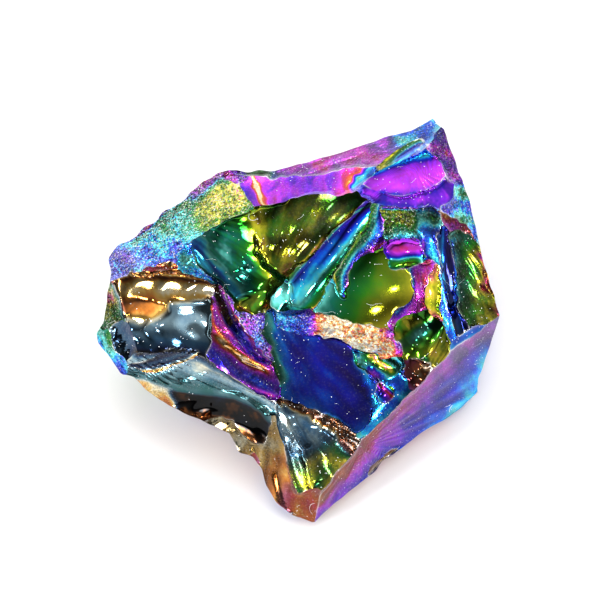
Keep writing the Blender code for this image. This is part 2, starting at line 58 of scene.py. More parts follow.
def to_world(point):
    """Lay points from the front's own frame, in millimetres, on the resting face, in metres."""
    u, v, w = point.T
    y = v * math.cos(LEAN) - w * math.sin(LEAN)
    z = v * math.sin(LEAN) + w * math.cos(LEAN)
    return np.c_[u - BASE_CENTRE[0], y - BASE_CENTRE[1], z + BASE_DEPTH] * MM


camera_data = bpy.data.cameras.new("camera")
camera_data.sensor_width = SENSOR
camera_data.lens = SENSOR * VIEW_DISTANCE * PIXELS_PER_MM / IMAGE_SIDE
camera = bpy.data.objects.new("camera", camera_data)
camera.location = to_world(np.array([(*VIEW_CENTRE, VIEW_DISTANCE)]))[0]
camera.rotation_euler = (LEAN, 0.0, 0.0)
bpy.context.scene.collection.objects.link(camera)
bpy.context.scene.camera = camera

# Broken form of the stone
# One lump of volcanic glass. Every scar is a dished facet where a flake came off, with its own
# outline, and later scars cut into earlier ones. A cube's grid is moved onto that form.

# Depth of the stone's core under its front, how steeply a scar's wall rises outside its outline, how
# far the crests stand out, how the sides taper backwards, and how loosely the front's broad form
# follows its spot heights.
CORE_DEPTH = 14.0
WALL_SLOPE = 3.0
CREST_LIMIT = 3.5
SIDE_TAPER = 0.12
PLATE_GIVE = 0.5

# Corners of the silhouette, in millimetres across and up the front.
SILHOUETTE = [
    (21.8, 33.4), (23.6, 31.6), (24.8, 28.0), (26.3, 24.0), (27.8, 20.0), (28.8, 15.5), (30.0, 10.0),
    (31.6, 5.0), (32.7, 1.0), (31.6, -2.5), (30.4, -6.0), (29.3, -9.0), (29.2, -11.5), (26.5, -14.0),
    (23.5, -16.0), (19.0, -18.8), (15.0, -21.9), (13.6, -22.6), (12.4, -24.5), (10.0, -26.3),
    (5.5, -29.8), (2.3, -32.9), (-0.8, -31.9), (-4.0, -29.6), (-5.6, -26.6), (-6.3, -24.0),
    (-7.6, -22.3), (-10.0, -21.2), (-11.6, -18.2), (-14.0, -17.0), (-18.0, -15.4), (-22.8, -12.9),
    (-25.4, -11.0), (-27.2, -8.9), (-29.4, -8.6), (-30.6, -6.4), (-33.3, -3.2), (-33.3, -1.8),
    (-32.2, 0.0), (-31.6, 4.0), (-31.0, 8.0), (-31.4, 10.6), (-29.8, 12.8), (-27.0, 13.8),
    (-24.8, 15.8), (-22.3, 18.4), (-18.6, 20.4), (-16.4, 22.4), (-14.0, 24.2), (-11.7, 25.0),
    (-9.4, 24.7), (-4.2, 24.8), (-1.2, 25.6), (7.7, 28.1), (13.6, 30.2), (18.3, 31.4),
]

# Spot heights of the broken front: u, v and how far it stands towards the viewer.
SPOTS = [
    (22, 33, -9), (24.5, 29, -7), (16, 31, -10), (8, 28, -10), (0, 26, -9), (-5, 25, -7.5),
    (-11.5, 25, -6.5), (-8, 24, -3.5), (-2, 24, -3), (3, 24.2, -2.5), (7, 25.3, -2.5),
    (11.5, 25.8, -3), (18, 27, -3.5), (21, 27.5, -4), (24.3, 24.5, -3.5), (26.7, 23, -5),
    (28.3, 18, -4), (29.5, 12.5, -4), (31.2, 6, -4), (32.5, 1, -4), (-8, 18.3, 0.5), (-4, 19.3, 1.8),
    (2, 21, 2.5), (7.5, 21.7, 3), (12, 19.8, 4), (16, 19, 2.8), (22, 18.5, 2), (26, 17, -0.5),
    (-1, 14, 0), (-11, 11, -2), (-5.5, 8.3, -3), (-7, 3, -3.5), (5, 15, 3.5), (1, 11, 2.8),
    (-1.5, 8, 1.8), (-4.3, 4.3, 0.5), (-1.5, 2.7, 0.5), (3, 6, 1.3), (9, 12.5, 2.2), (6.2, 7, 1.6),
    (14.5, 13, 1.5), (18, 9, 0.8), (17.3, 2.5, -0.3), (12, 0.5, 0), (4, 1.2, 0.6), (20, 10, 1.5),
    (20, 6, 1.2), (21, 2.5, 0), (23.3, 0, 0.5), (24, 12, -0.5), (25, 5, -1.5), (29, 7, -2.5),
    (-3, 1, 0), (15.5, -2.7, -0.5), (-3, -1, -3.5), (1, -2.2, -4), (6, -3.5, -4.3), (12, -5.4, -4),
    (16, -5.2, -3), (0, -7, -5), (6, -11, -5.2), (11, -15, -4.6), (-3, -12, -4), (27, -3, -1.5),
    (20, -9.8, -1.5), (15, -15, -2), (11, -18.3, -2.5), (8, -23, -3.2), (3, -29, -5.5),
    (31, -6, -14), (29.5, -11.5, -17), (24, -16, -16), (19, -19, -14), (14, -22.8, -12),
    (8, -28, -11), (2.3, -33, -9.5), (-14, 5.5, 1.2), (-13.7, 1, 1.6), (-9, -4.2, 0.6),
    (-4.5, -8.3, -1), (-9.8, 2.5, -2.5), (-6, -2, -3.3), (-4.6, -6.5, -3.8), (-10, -9.7, -1),
    (-4, -13, -1.8), (-31, 7, -4), (-27, 8.2, -0.5), (-20, 7.8, 1), (-22, 1, -0.5), (-27, -6, -1.2),
    (-19, -4.8, 0.8), (-15, -6.5, 0.8), (-32.5, 0, -6), (-33.5, -2.3, -7), (-29, -8.5, -5),
    (-14, -12.5, -4), (-8.5, -16.5, -4.6), (-23, -10.5, -4.5), (-19, -14.7, -7), (-13, -16.7, -7.5),
    (-10, -21.5, -8), (-6, -25, -8.5), (-3, -30, -9), (-1, -32, -9), (-2.7, -20, -2.4),
    (-1.2, -28, -5.2), (8.3, -22.3, -3), (-31.5, 11, -8), (-26, 14.7, -8), (-20, 19.5, -8),
    (-15, 23.3, -7), (-12, 16.5, 0), (-18.5, 12.7, -1), (-15, 8.3, -1.2), (-24, 9.7, -1.8),
    (-22, 14, -3.6),
]

# Each scar: how deep its middle is dished, then its outline.
SCARS = {
    "top_flank": (0.5, [(-12, 26), (-3.5, 26), (9, 30), (19, 34), (24, 35), (22.4, 31), (20, 28.2),
                        (15.5, 26.4), (11.5, 25.9), (7, 25.3), (3, 24.2), (-2, 24.1), (-8, 24)]),
    "violet_band": (0.5, [(-11.5, 24.6), (-8, 24), (-2, 24.1), (3, 24.2), (7, 25.3), (11.5, 25.9),
                          (12.3, 24.6), (9.5, 22.2), (7.5, 21.7), (2, 21), (-4, 19.3), (-8, 18.3),
                          (-9, 20.3), (-10, 22.8)]),
    "lens_chip": (0.9, [(10.4, 22.4), (12.3, 24.6), (15, 26), (18, 27), (21, 27.4), (23.4, 25.8),
                        (24.2, 23.8), (22, 21.6), (18, 20.8), (13, 21.2)]),
    "lens_lip": (0.2, [(10.4, 22.4), (13, 21.2), (18, 20.8), (22, 21.6), (24.2, 23.8), (25.4, 22.8),
                       (24.8, 20), (22, 18.6), (16, 19), (12.2, 19.6), (9.5, 21.5)]),
    "end_chip": (0.3, [(25.4, 22.8), (27.3, 23), (29, 18), (30, 13), (28.6, 13.2), (27.2, 15.8),
                       (24.3, 18), (22, 18.6), (24.8, 20)]),
    "apex_flank": (0.3, [(21, 27.4), (22.4, 31), (26, 33), (28, 26), (27.3, 23), (25.4, 22.8),
                         (24.2, 23.8), (23.4, 25.8)]),
    "apex_blade": (0.6, [(13, 25.4), (15.2, 27.5), (17.4, 29.6), (21.8, 31.3), (19.6, 28.4),
                         (16.4, 26.5)]),
    "grain_crown": (-0.4, [(-20, 22), (-15, 26), (-11.5, 25.5), (-10, 22.8), (-9, 20.3), (-8, 18.3),
                           (-11, 16.6), (-15.5, 15.2), (-17.2, 17.6), (-18.4, 20.4)]),
    "grain_slope": (-0.3, [(-20, 22), (-18.4, 20.4), (-17.2, 17.6), (-15.5, 15.2), (-18.6, 12.8),
                           (-20.4, 9.4), (-24.5, 9.6), (-27, 12), (-28, 15), (-24.5, 18.5)]),
    "grain_foot": (-0.5, [(-28, 15), (-27, 12), (-24.5, 9.6), (-26.2, 8.2), (-31, 7.2), (-34, 9),
                          (-33, 13)]),
    "grain_toe": (0.2, [(-20.4, 9.4), (-18.6, 12.8), (-17.4, 11), (-16, 9), (-12.2, 6), (-16, 7.2),
                        (-20.4, 8)]),
    "ember_notch": (0.4, [(-24.5, 9.6), (-20.4, 9.4), (-20.4, 8), (-24, 8), (-26.2, 8.2)]),
    "left_green": (1.4, [(-18.6, 12.8), (-15.5, 15.2), (-11, 16.6), (-8, 18.3), (-7.4, 14), (-6.4, 10.4),
                         (-4.4, 7.2), (-6.4, 5.4), (-10, 3.2), (-12.2, 6), (-16, 9), (-17.4, 11)]),
    "upper_green": (1.6, [(-8, 18.3), (-4, 19.3), (2, 21), (7.5, 21.7), (12.2, 20), (8.2, 17.5),
                          (5.7, 15.5), (3.3, 13), (1.6, 11), (-0.6, 8.8), (-4.4, 7.2), (-6.4, 10.4),
                          (-7.4, 14)]),
    "low_green": (0.5, [(-10, 3.2), (-6.4, 5.4), (-4.4, 7.2), (-2.8, 6.4), (-4.8, 4), (-4.8, 1.6),
                        (-6.4, 0.6), (-8, 1.4)]),
    "flute_front": (1.5, [(12.4, 19.7), (8.2, 17.5), (5.7, 15.5), (3.3, 13), (1.6, 11), (-0.4, 8.8),
                          (-2.8, 6.4), (-1, 5.4), (-1.6, 2.8), (2, 2), (3.6, 3.4), (4.6, 6), (5.6, 8),
                          (7, 10.4), (8.6, 12.2), (10.7, 15.5), (12, 18)]),
    "flute_toe": (0.2, [(-2.8, 6.4), (-1, 5.4), (-1.6, 2.8), (-4.4, 1.6), (-4.8, 4)]),
    "flute_inner": (1.0, [(12.4, 19.7), (12, 18), (10.7, 15.5), (8.6, 12.2), (7, 10.4), (5.6, 8),
                          (5.3, 6.9), (6, 5.2), (7.2, 3.6), (8, 6), (8.2, 8.1), (9.8, 10.6), (12.3, 12),
                          (14.6, 13.4), (13.8, 16), (13.6, 18.8)]),
    "dish": (1.0, [(3.6, 3.4), (2, 2), (3.6, 1.1), (8, 0.5), (12, -0.9), (14.8, -1.6), (15.8, 1.6),
                   (17.8, 3.2), (18.4, 6.4), (17.6, 8.8), (14.8, 9.4), (13.8, 12.4), (12.3, 12),
                   (9.8, 10.6), (8.2, 8.1), (8, 6), (7.2, 3.6), (6, 5.2), (5.3, 6.9), (4.6, 6)]),
    "brow": (0.2, [(13.6, 18.8), (13.6, 16), (13.8, 13.8), (18.6, 13.8), (19, 16), (19.4, 18.7),
                   (16, 19)]),
    "eye": (0.8, [(13.6, 12.6), (16.6, 13.6), (20.2, 13), (20.2, 11.2), (17, 10.4), (14.6, 10.4)]),
    "eye_lower": (0.4, [(14.6, 10.4), (17, 10.4), (20.2, 11.2), (20, 9.6), (17.8, 8.8), (15, 8.6)]),
    "fork": (0.3, [(17.8, 8.8), (20, 9.6), (22.4, 10), (21.4, 7.8), (20.4, 4.6), (21, 2.2), (17.2, 1),
                   (15.2, -1.6), (14.4, 0), (15.8, 1.6), (18, 3.6), (18.6, 6.4)]),
    "leaf": (0.5, [(22.4, 9.4), (23, 6), (22.9, 3), (23.5, 0), (21, 2.2), (20.4, 4.6), (21.4, 7.8)]),
    "rib": (-0.2, [(20.2, 14), (22.2, 13.4), (23.2, 9), (23.8, 5), (24.6, 1.4), (25.4, -2), (24.6, -3.4),
                   (23.5, 0), (22.9, 3), (23, 6), (22.4, 9.4), (20.2, 11.2)]),
    "knot": (0.5, [(19.4, 18.7), (19, 16), (18.6, 13.8), (20.2, 14), (22.2, 13.4), (23.6, 16),
                   (22.6, 18.4)]),
    "dark_flute": (0.9, [(23.6, 16), (25, 13), (25.6, 8), (25.4, 3), (26.4, 0.6), (28.6, -1.2),
                         (25.4, -2), (24.6, 1.4), (23.8, 5), (23.2, 9), (22.2, 13.4)]),
    "right_green": (1.1, [(25, 13), (25, 15), (27.6, 14.2), (29.6, 11), (31, 6.5), (33, 2), (32.5, 0.4),
                          (28.6, -0.6), (26.4, 0.6), (25.4, 3), (25.6, 8)]),
    "rust_corner": (0.3, [(22.6, 18.4), (24.3, 18), (27.2, 15.8), (28.6, 13.2), (27.6, 14.2), (25, 15),
                          (23.6, 16)]),
    "drum": (1.1, [(15.2, -1.6), (17.2, 1), (21, 2.2), (23.5, 0), (21.8, -3.6), (20, -6.4), (17, -6.4),
                   (16.6, -4.2)]),
    "gold_sliver": (0.3, [(23.5, 0), (24.6, -3.4), (24.8, -5), (22.4, -7.4), (20, -6.4), (21.8, -3.6)]),
    "navy_strip": (0.2, [(24.6, -3.4), (25.4, -2), (28.6, -1.2), (32.5, 0.4), (28, -2.4), (24.8, -5)]),
    "pit": (0.6, [(17, -6.4), (20, -6.4), (22.4, -7.4), (18.4, -11.4), (17.4, -9.4)]),
    "ledge": (-0.2, [(-4.6, 1.6), (0, 1.3), (3.6, 1.1), (8, 0.5), (12, -0.9), (14.8, -1.6), (16.6, -4.2),
                     (15, -5.6), (12, -5.2), (6, -3.3), (1, -2.2), (-3.4, -0.8)]),
    "ripple_steps": (0.9, [(8.6, -4.4), (12, -5.2), (15, -5.6), (16.8, -6.6), (16.4, -8), (13.4, -9.6),
                           (10.8, -8.2), (9, -6.2)]),
    "blue_floor": (0.5, [(-4.6, 1.6), (-3.4, -0.8), (1, -2.2), (6, -3.3), (8.6, -4.4), (9, -6.2),
                         (10.8, -8.2), (13, -10), (12.4, -13.2), (9.4, -17.8), (4, -15), (-3, -12.8),
                         (-3.4, -9), (-4.4, -6.4), (-6, -2), (-6.4, 0.6)]),
    "cyan_foot": (0.5, [(13.4, -9.6), (16.4, -8), (17.4, -9.4), (18.4, -11.4), (15, -15), (11, -18.3),
                        (9.4, -17.8), (12.4, -13.2), (13, -10)]),
    "frost_edge": (0.0, [(-12, 4.6), (-10, 3.2), (-8, 1.4), (-6.4, 0.6), (-6, -2), (-4.4, -6.4),
                         (-7, -3.6), (-10, 0.4)]),
    "plum_face": (0.5, [(-14.2, 5.6), (-12.2, 6), (-12, 4.6), (-10, 0.4), (-7, -3.6), (-4.4, -6.6),
                        (-6.6, -5.8), (-9.4, -3.8), (-12.4, -1), (-13.6, 2)]),
    "gold_arris": (0.0, [(-14.8, 4), (-14.2, 5.6), (-13.6, 2), (-12.4, -1), (-9.4, -3.8), (-6.6, -5.8),
                         (-4, -7.8), (-5.4, -8), (-9.4, -6), (-12.6, -3.6), (-14.6, -0.6)]),
    "violet_face": (0.4, [(-14.6, -0.6), (-12.6, -3.6), (-9.4, -6), (-5.4, -8), (-4, -7.8), (-3.2, -9),
                          (-3.4, -12.6), (-6, -11.8), (-10, -9.8), (-14.8, -6.8)]),
    "gold_crest": (0.4, [(-32, 7), (-27, 8.2), (-20.4, 8), (-16, 7.2), (-12.2, 6), (-14.4, 4.2),
                         (-18, 3.6), (-21, 3.4), (-26, 4.2), (-29.6, 3)]),
    "amber_patch": (0.3, [(-29.6, 3), (-26, 4.2), (-21, 3.4), (-21.4, 1.4), (-25, -0.4), (-28.6, 0.4)]),
    "steel_bowl": (1.2, [(-21.4, 1.4), (-21, 3.4), (-18, 3.6), (-14.8, 4), (-14.6, -0.6), (-14.8, -4),
                         (-15.6, -6), (-19, -4.6), (-26.6, -5.2), (-29, 0), (-25, -0.4)]),
    "left_rim": (-0.2, [(-34, 1), (-34, 7), (-32, 7), (-29.6, 3), (-28.8, 0.3), (-31, -1), (-34, -1.2)]),
    "pearl_chip": (0.7, [(-31, -1), (-28.8, 0.3), (-26.6, -5.2), (-28.4, -6.8), (-30.6, -4)]),
    "rainbow_chip": (0.1, [(-34, -1.2), (-31, -1), (-30.6, -4), (-28.4, -6.8), (-28.6, -9.5), (-31, -8),
                           (-35, -4)]),
    "steel_band": (0.5, [(-28.4, -6.8), (-26.6, -5.2), (-19, -4.6), (-15.6, -6), (-10, -9.8),
                         (-3.8, -13.4), (-4.6, -15.4), (-7.4, -13), (-12, -11.4), (-20, -11),
                         (-26.5, -9.5), (-28.6, -9.5)]),
    "black_trough": (0.8, [(-20, -11), (-12, -11.4), (-7.4, -13), (-4.6, -15.4), (-5.8, -20),
                           (-8.4, -19.6), (-11, -16.4), (-14.2, -16.2), (-20.5, -13.6)]),
    "bright_heel": (0.2, [(-26.5, -9.5), (-20, -11), (-20.5, -13.6), (-22, -15), (-28, -11)]),
    "amber_skirt": (0.7, [(-3.8, -13.4), (-2.8, -20), (-1.2, -28.3), (-1.4, -33), (-5, -32), (-8, -25),
                          (-10.5, -22.5), (-14, -17.5), (-14.2, -16.2), (-11, -16.4), (-8.4, -19.6),
                          (-5.8, -20), (-4.6, -15.4)]),
    "fan_left": (0.5, [(-3.8, -13.4), (-1, -16.4), (2.4, -23), (2.6, -27.8), (-1.2, -28.3), (-2.8, -20)]),
    "fan_right": (0.5, [(-3.4, -12.8), (1.4, -15.4), (5.2, -18.4), (8.4, -22.6), (5.4, -25.4),
                        (2.6, -27.8), (2.4, -23), (-1, -16.4)]),
    "tip_face": (0.2, [(-1.2, -28.3), (2.6, -27.8), (3.2, -29), (2.4, -34), (-1.4, -33)]),
    "splinters": (0.1, [(-3.4, -12.8), (4, -15), (9.4, -17.8), (10.4, -18.8), (8.4, -22.6), (5.2, -18.4),
                        (1.4, -15.4)]),
    "long_flank": (0.6, [(33.5, 1), (28, -2.4), (24.8, -5), (22.4, -7.4), (18.4, -11.4), (15, -15),
                         (11, -18.3), (10.4, -18.8), (8.4, -22.6), (5.4, -25.4), (3.2, -29), (2.4, -34),
                         (12, -30), (25, -20), (33, -14), (35, -4)]),
}

# Faces of the back: the way each one looks, as a turn around the rim and a lean away from the
# viewer in degrees, and how far it stands off the rim.
BACK_FACES = [
    (104, 14, 0.2), (60, 38, -0.5), (18, 22, 0.2), (-16, 16, 0.3), (-52, 34, 0.3), (-92, 52, 0.5),
    (-129, 40, 0.3), (-160, 50, 0.0), (178, 28, 0.3), (150, 44, 0.0), (128, 24, 0.2), (95, 50, -1.5),
    (0, 50, -1.0),
]

# Scoops out of the back: middle of each ball and its radius. Their walls swell a little.
SCOOPS = [
    ((2, 47, -27), 20.0),
    ((-22, 33, -25), 15.0),
    ((45, 14, -22), 18.5),
    ((-47, 2, -24), 19.0),
    ((42, -12, -33), 20.0),
    ((20, 42, -38), 16.0),
]
SCOOP_SWELL = 0.12
SCOOP_WAVES = (0.21, 0.13, 0.3)

# Small chips out of the scars: how deep each is, and its outline. At its edge a chip still has a
# share of its depth.
CHIPS = {
    "striated_lip": (0.4, [(-28.4, -7.4), (-24, -5.8), (-19.5, -4.2), (-16.4, -5.0), (-19, -6.4),
                           (-24, -8.0)]),
    "rainbow_eye": (0.3, [(12.6, -10.4), (14.4, -10.0), (15.6, -11.0), (15.0, -12.4), (13.4, -13.2),
                          (12.4, -12)]),
    "flank_chip": (0.6, [(11.0, -24.6), (13, -22.6), (15.6, -20.7), (15.4, -21.8), (13.8, -23.8),
                         (12, -25.4)]),
    "heel_chip": (0.4, [(-8.0, -21.5), (-6.6, -22.5), (-6.0, -25.5), (-7.4, -27), (-9, -24)]),
    "crown_chip": (0.5, [(-12.5, 25.5), (-9.5, 24.8), (-8.6, 23.4), (-10.6, 22.8), (-12.8, 23.8)]),
}
CHIP_EDGE = 0.2

# Waves that spread through a scar from where the blow fell: that point, their spacing and height.
RIPPLES = {
    "gold_crest": (-10.0, -4.0, 3.4, 0.1), "steel_bowl": (-11.0, 3.0, 6.5, 0.025),
    "amber_patch": (-25.0, -9.0, 3.4, 0.04), "pearl_chip": (-34.0, 1.0, 1.6, 0.12),
    "steel_band": (-13.0, -24.0, 2.9, 0.12), "black_trough": (-13.0, -22.5, 2.3, 0.07),
    "bright_heel": (-13.0, -24.0, 2.4, 0.08), "amber_skirt": (-16.0, -26.0, 2.8, 0.08),
    "upper_green": (13.0, 23.0, 5.0, 0.03), "left_green": (-3.0, 7.0, 4.6, 0.04),
    "ripple_steps": (16.0, -3.5, 2.4, 0.1), "lens_chip": (25.0, 22.0, 3.2, 0.03),
    "blue_floor": (14.0, -19.0, 4.4, 0.03), "right_green": (34.0, 15.0, 2.6, 0.1),
    "drum": (25.0, 4.0, 2.2, 0.07), "cyan_foot": (21.0, -3.0, 3.4, 0.03), "eye": (17.0, 16.0, 1.4, 0.05),
    "violet_face": (-2.0, -16.0, 2.6, 0.05), "leaf": (24.0, 10.0, 2.2, 0.05),
    "pit": (24.0, -4.0, 1.6, 0.07), "low_green": (-1.0, 8.0, 1.9, 0.05),
}

# Hackles, fine ridges that fan out from the same place: that point, their angle and height. Along
# a ridge its height changes more slowly.
HACKLES = {
    "long_flank": (10.0, -20.5, 5.0, 0.1), "fan_left": (-4.5, -11.5, 8.0, 0.1),
    "fan_right": (-5.0, -11.0, 6.0, 0.12), "splinters": (-6.0, -11.5, 3.0, 0.13),
    "top_flank": (-44.0, 8.0, 1.3, 0.1), "violet_band": (2.0, 62.0, 1.9, 0.03),
    "amber_skirt": (-4.0, -11.0, 7.0, 0.12), "flute_front": (12.6, 21.5, 9.0, 0.02),
    "flute_inner": (12.6, 21.5, 7.0, 0.04), "dark_flute": (24.0, 20.0, 4.0, 0.1),
    "plum_face": (-14.0, 8.0, 5.0, 0.07), "violet_face": (-17.0, 0.0, 6.0, 0.05),
    "blue_floor": (-9.0, 8.0, 6.0, 0.03), "upper_green": (-6.0, 4.0, 6.5, 0.035),
    "tip_face": (-2.0, -22.0, 6.0, 0.08), "gold_arris": (-15.0, 7.0, 3.0, 0.1),
    "apex_blade": (9.0, 22.0, 3.0, 0.1), "fork": (18.0, 14.0, 9.0, 0.08), "rib": (22.0, 18.0, 4.5, 0.09),
    "right_green": (23.0, 19.0, 4.0, 0.06), "steel_band": (-40.0, 2.0, 1.8, 0.09),
    "amber_patch": (-36.0, -7.0, 3.0, 0.03), "left_green": (-24.0, 20.0, 3.5, 0.05),
    "gold_sliver": (20.0, -10.0, 6.0, 0.08), "lens_chip": (19.0, 24.8, 10.0, 0.05),
    "striated_lip": (-60.0, -18.0, 0.9, 0.16),
}
HACKLE_LENGTH = 9.0

# Grains that stand up in the frosted scars: their height, then the share, size, seed and number of
# waves of the coarse, middling and fine ones.
FROSTED = {
    "grain_crown": 0.26, "grain_slope": 0.28, "grain_foot": 0.28, "grain_toe": 0.16, "ledge": 0.16,
    "brow": 0.14, "frost_edge": 0.16, "end_chip": 0.14, "knot": 0.1, "apex_flank": 0.1,
    "rainbow_chip": 0.1, "top_flank": 0.10, "crown_chip": 0.15, "heel_chip": 0.08,
}
GRAIN_SIZES = ((0.5, 3.4, 49, 8), (0.6, 1.5, 41, 12), (0.4, 0.8, 45, 14))

# Low swells that catch the light: where each starts and ends, its half width and height.
SWELLS = (
    (-8.6, 16.2, -6.2, 9.6, 1.5, 0.3), (-11.7, 12.3, -10.7, 9.8, 1.1, 0.16),
    (-12.5, 7.5, -7.0, 9.2, 0.4, 0.05), (-29.8, 5.3, -28.0, 6.0, 0.9, 0.07),
    (-25.6, 5.7, -23.2, 6.6, 0.9, 0.06), (-23.9, 4.8, -21.4, 5.8, 0.9, 0.06),
    (-21.5, 4.5, -19.0, 4.1, 0.8, 0.05), (16.0, 11.9, 19.2, 12.0, 0.8, 0.22),
    (24.9, 12.5, 26.5, 12.1, 0.9, 0.27), (27.4, 8.4, 25.6, 5.4, 0.35, 0.06),
    (28.2, 8.0, 26.5, 5.0, 0.35, 0.06), (-9.5, -9.2, -7.6, -9.8, 0.8, 0.14),
    (-3.8, -13.9, -1.9, -15.6, 1.0, 0.26), (-3.2, -16.8, -2.6, -18.4, 0.7, 0.14),
    (-1.6, -19.0, -0.6, -21.4, 0.6, 0.1), (3.0, -27.4, 4.2, -28.4, 0.8, 0.2),
    (8.3, -23.0, 8.9, -23.6, 0.6, 0.14), (-26.1, -1.0, -23.4, -3.9, 1.2, 0.36),
    (-17.4, -1.4, -17.2, -1.7, 1.3, 0.22), (-24.0, -8.6, -21.0, -9.8, 1.4, 0.2),
    (20.2, -5.0, 22.6, -1.5, 0.6, 0.1), (-5.0, 9.4, -4.2, 7.4, 0.7, 0.12),
    (21.2, 16.4, 21.9, 15.6, 0.8, 0.16), (11.5, 17.6, 9.6, 14.4, 0.5, 0.08),
)

# Scars that run into one another over a rounded ridge instead of a crisp arris, how wide that
# ridge is, and how often it is drawn smooth.
ROUNDED = (
    ("left_green", "upper_green", "low_green"), ("gold_crest", "amber_patch", "steel_bowl", "left_rim"),
    ("grain_crown", "grain_slope", "grain_foot", "grain_toe"), ("steel_band", "black_trough", "bright_heel"),
    ("fan_left", "fan_right", "splinters"), ("flute_front", "flute_toe"), ("cyan_foot", "ripple_steps"),
    ("eye", "eye_lower"), ("drum", "gold_sliver"), ("violet_band", "lens_lip"), ("end_chip", "apex_flank"),
    ("ledge", "frost_edge"), ("brow", "knot", "rib"), ("plum_face", "gold_arris", "violet_face"),
    ("amber_skirt", "tip_face"),
)
ROUNDED_REACH = 1.1
ROUNDED_ROUNDS = 14

# Where the blows behind the back's faces fell, the height and spacing of the ripples that spread
# from them, and how those ripples wander.
BLOW_REACH = 34.0
BLOW_SIDE = (0.3, 0.5, 0.8)
BACK_RIPPLE = 0.09
BACK_SPACING = 5.5
BLOW_WANDER = 1.5
BLOW_WAVES = (0.23, 0.31, 0.17)

# How far the silhouette wanders all round, and where the grain reaches it: at that turn and over
# that width, in radians, and by how much. Then the size, seed and number of its waves.
RIM_WANDER = 0.10
GRAIN_RIM = (2.42, 0.40, 0.55)
RIM_WAVES = (3.4, 91, 12)

# How the edges of the scars wander: size of the waves, reach and seed, for broad and fine ones.
EDGE_WANDER = ((7.0, 0.35, 3), (2.2, 0.22, 7))


def waves(p, length, seed, count=6):
    """Return crossing sine waves, about -1 to 1, for flat points."""
    rng = np.random.default_rng(seed)
    turns = rng.uniform(0, math.tau, count)
    lengths = length * rng.uniform(0.65, 1.5, count)
    starts = rng.uniform(0, math.tau, count)
    total = np.zeros(len(p))
    for turn, each, start in zip(turns, lengths, starts):
        way = p[:, 0] * math.cos(turn) + p[:, 1] * math.sin(turn)
        total += np.sin(math.tau * way / each + start)
    return total / math.sqrt(2 * count)


def wander(p, length, reach, seed):
    """Shift flat points a little, so that straight lines wander."""
    return p + reach * np.c_[waves(p, length, seed), waves(p, length, seed + 1)]


def rays(p, name):
    """Return a scar's fan of hackles, about -1 to 1."""
    u, v, spacing, _ = HACKLES[name]
    arm = p - (u, v)
    turn = np.degrees(np.arctan2(arm[:, 1], arm[:, 0]))
    rows = np.c_[turn / spacing, np.hypot(arm[:, 0], arm[:, 1]) / HACKLE_LENGTH]
    return 0.6 * waves(rows, 1.6, seed=31) + 0.4 * waves(rows * (1, 1.6), 0.8, seed=35)


def ripple(p, name):
    """Return the height of a scar's waves, hackles and grains."""
    total = np.zeros(len(p))
    if name in RIPPLES:
        u, v, spacing, height = RIPPLES[name]
        arm = wander(p, 9.0, 0.7, seed=11) - (u, v)
        reach = np.hypot(arm[:, 0], arm[:, 1])
        swell = 0.6 + 0.4 * waves(p, 14.0, seed=21)
        total += height * swell * np.sin(math.tau * reach / spacing + waves(p, 12.0, seed=25))
    if name in HACKLES:
        total += HACKLES[name][3] * rays(p, name)
    if name in FROSTED:
        total += FROSTED[name] * sum(share * waves(p, *size) for share, *size in GRAIN_SIZES)
    return total


def curve_through(points, steps=4):
    """Return a smooth closed curve through the points."""
    here = np.array(points, float)
    before = np.roll(here, 1, 0)
    after = np.roll(here, -1, 0)
    later = np.roll(here, -2, 0)
    rows = []
    for step in range(steps):
        t = step / steps
        slope = after - before
        square = 2 * before - 5 * here + 4 * after - later
        cube = 3 * here - before - 3 * after + later
        rows.append(0.5 * (2 * here + slope * t + square * t**2 + cube * t**3))
    return np.stack(rows, 1).reshape(-1, 2)


def outside(p, outline):
    """Return the distance of flat points from an outline, negative inside it."""
    start = outline
    edge = np.roll(outline, -1, 0) - start
    arm_u = p[:, 0, None] - start[None, :, 0]
    arm_v = p[:, 1, None] - start[None, :, 1]
    t = np.clip((arm_u * edge[:, 0] + arm_v * edge[:, 1]) / (edge * edge).sum(-1), 0, 1)
    near = np.sqrt(((arm_u - t * edge[:, 0]) ** 2 + (arm_v - t * edge[:, 1]) ** 2).min(1))
    crosses = (arm_v >= 0) != (arm_v >= edge[:, 1])
    side = edge[:, 0] * arm_v - edge[:, 1] * arm_u
    left = np.where(edge[:, 1] > 0, side > 0, side < 0)
    odd = (crosses & left).sum(1) % 2 == 1
    return np.where(odd, -near, near)


def distance(p, line):
    """Return how far flat points are from an open line."""
    line = np.array(line, float)
    start = line[:-1]
    edge = line[1:] - start
    arm = p[:, None] - start[None]
    t = np.clip((arm * edge).sum(-1) / (edge * edge).sum(-1), 0, 1)
    return np.linalg.norm(arm - t[..., None] * edge, axis=-1).min(1)


def plate_kernel(squared):
    """Return the bending shape of a thin plate for squared distances."""
    return 0.5 * squared * np.log(squared + 1e-9)


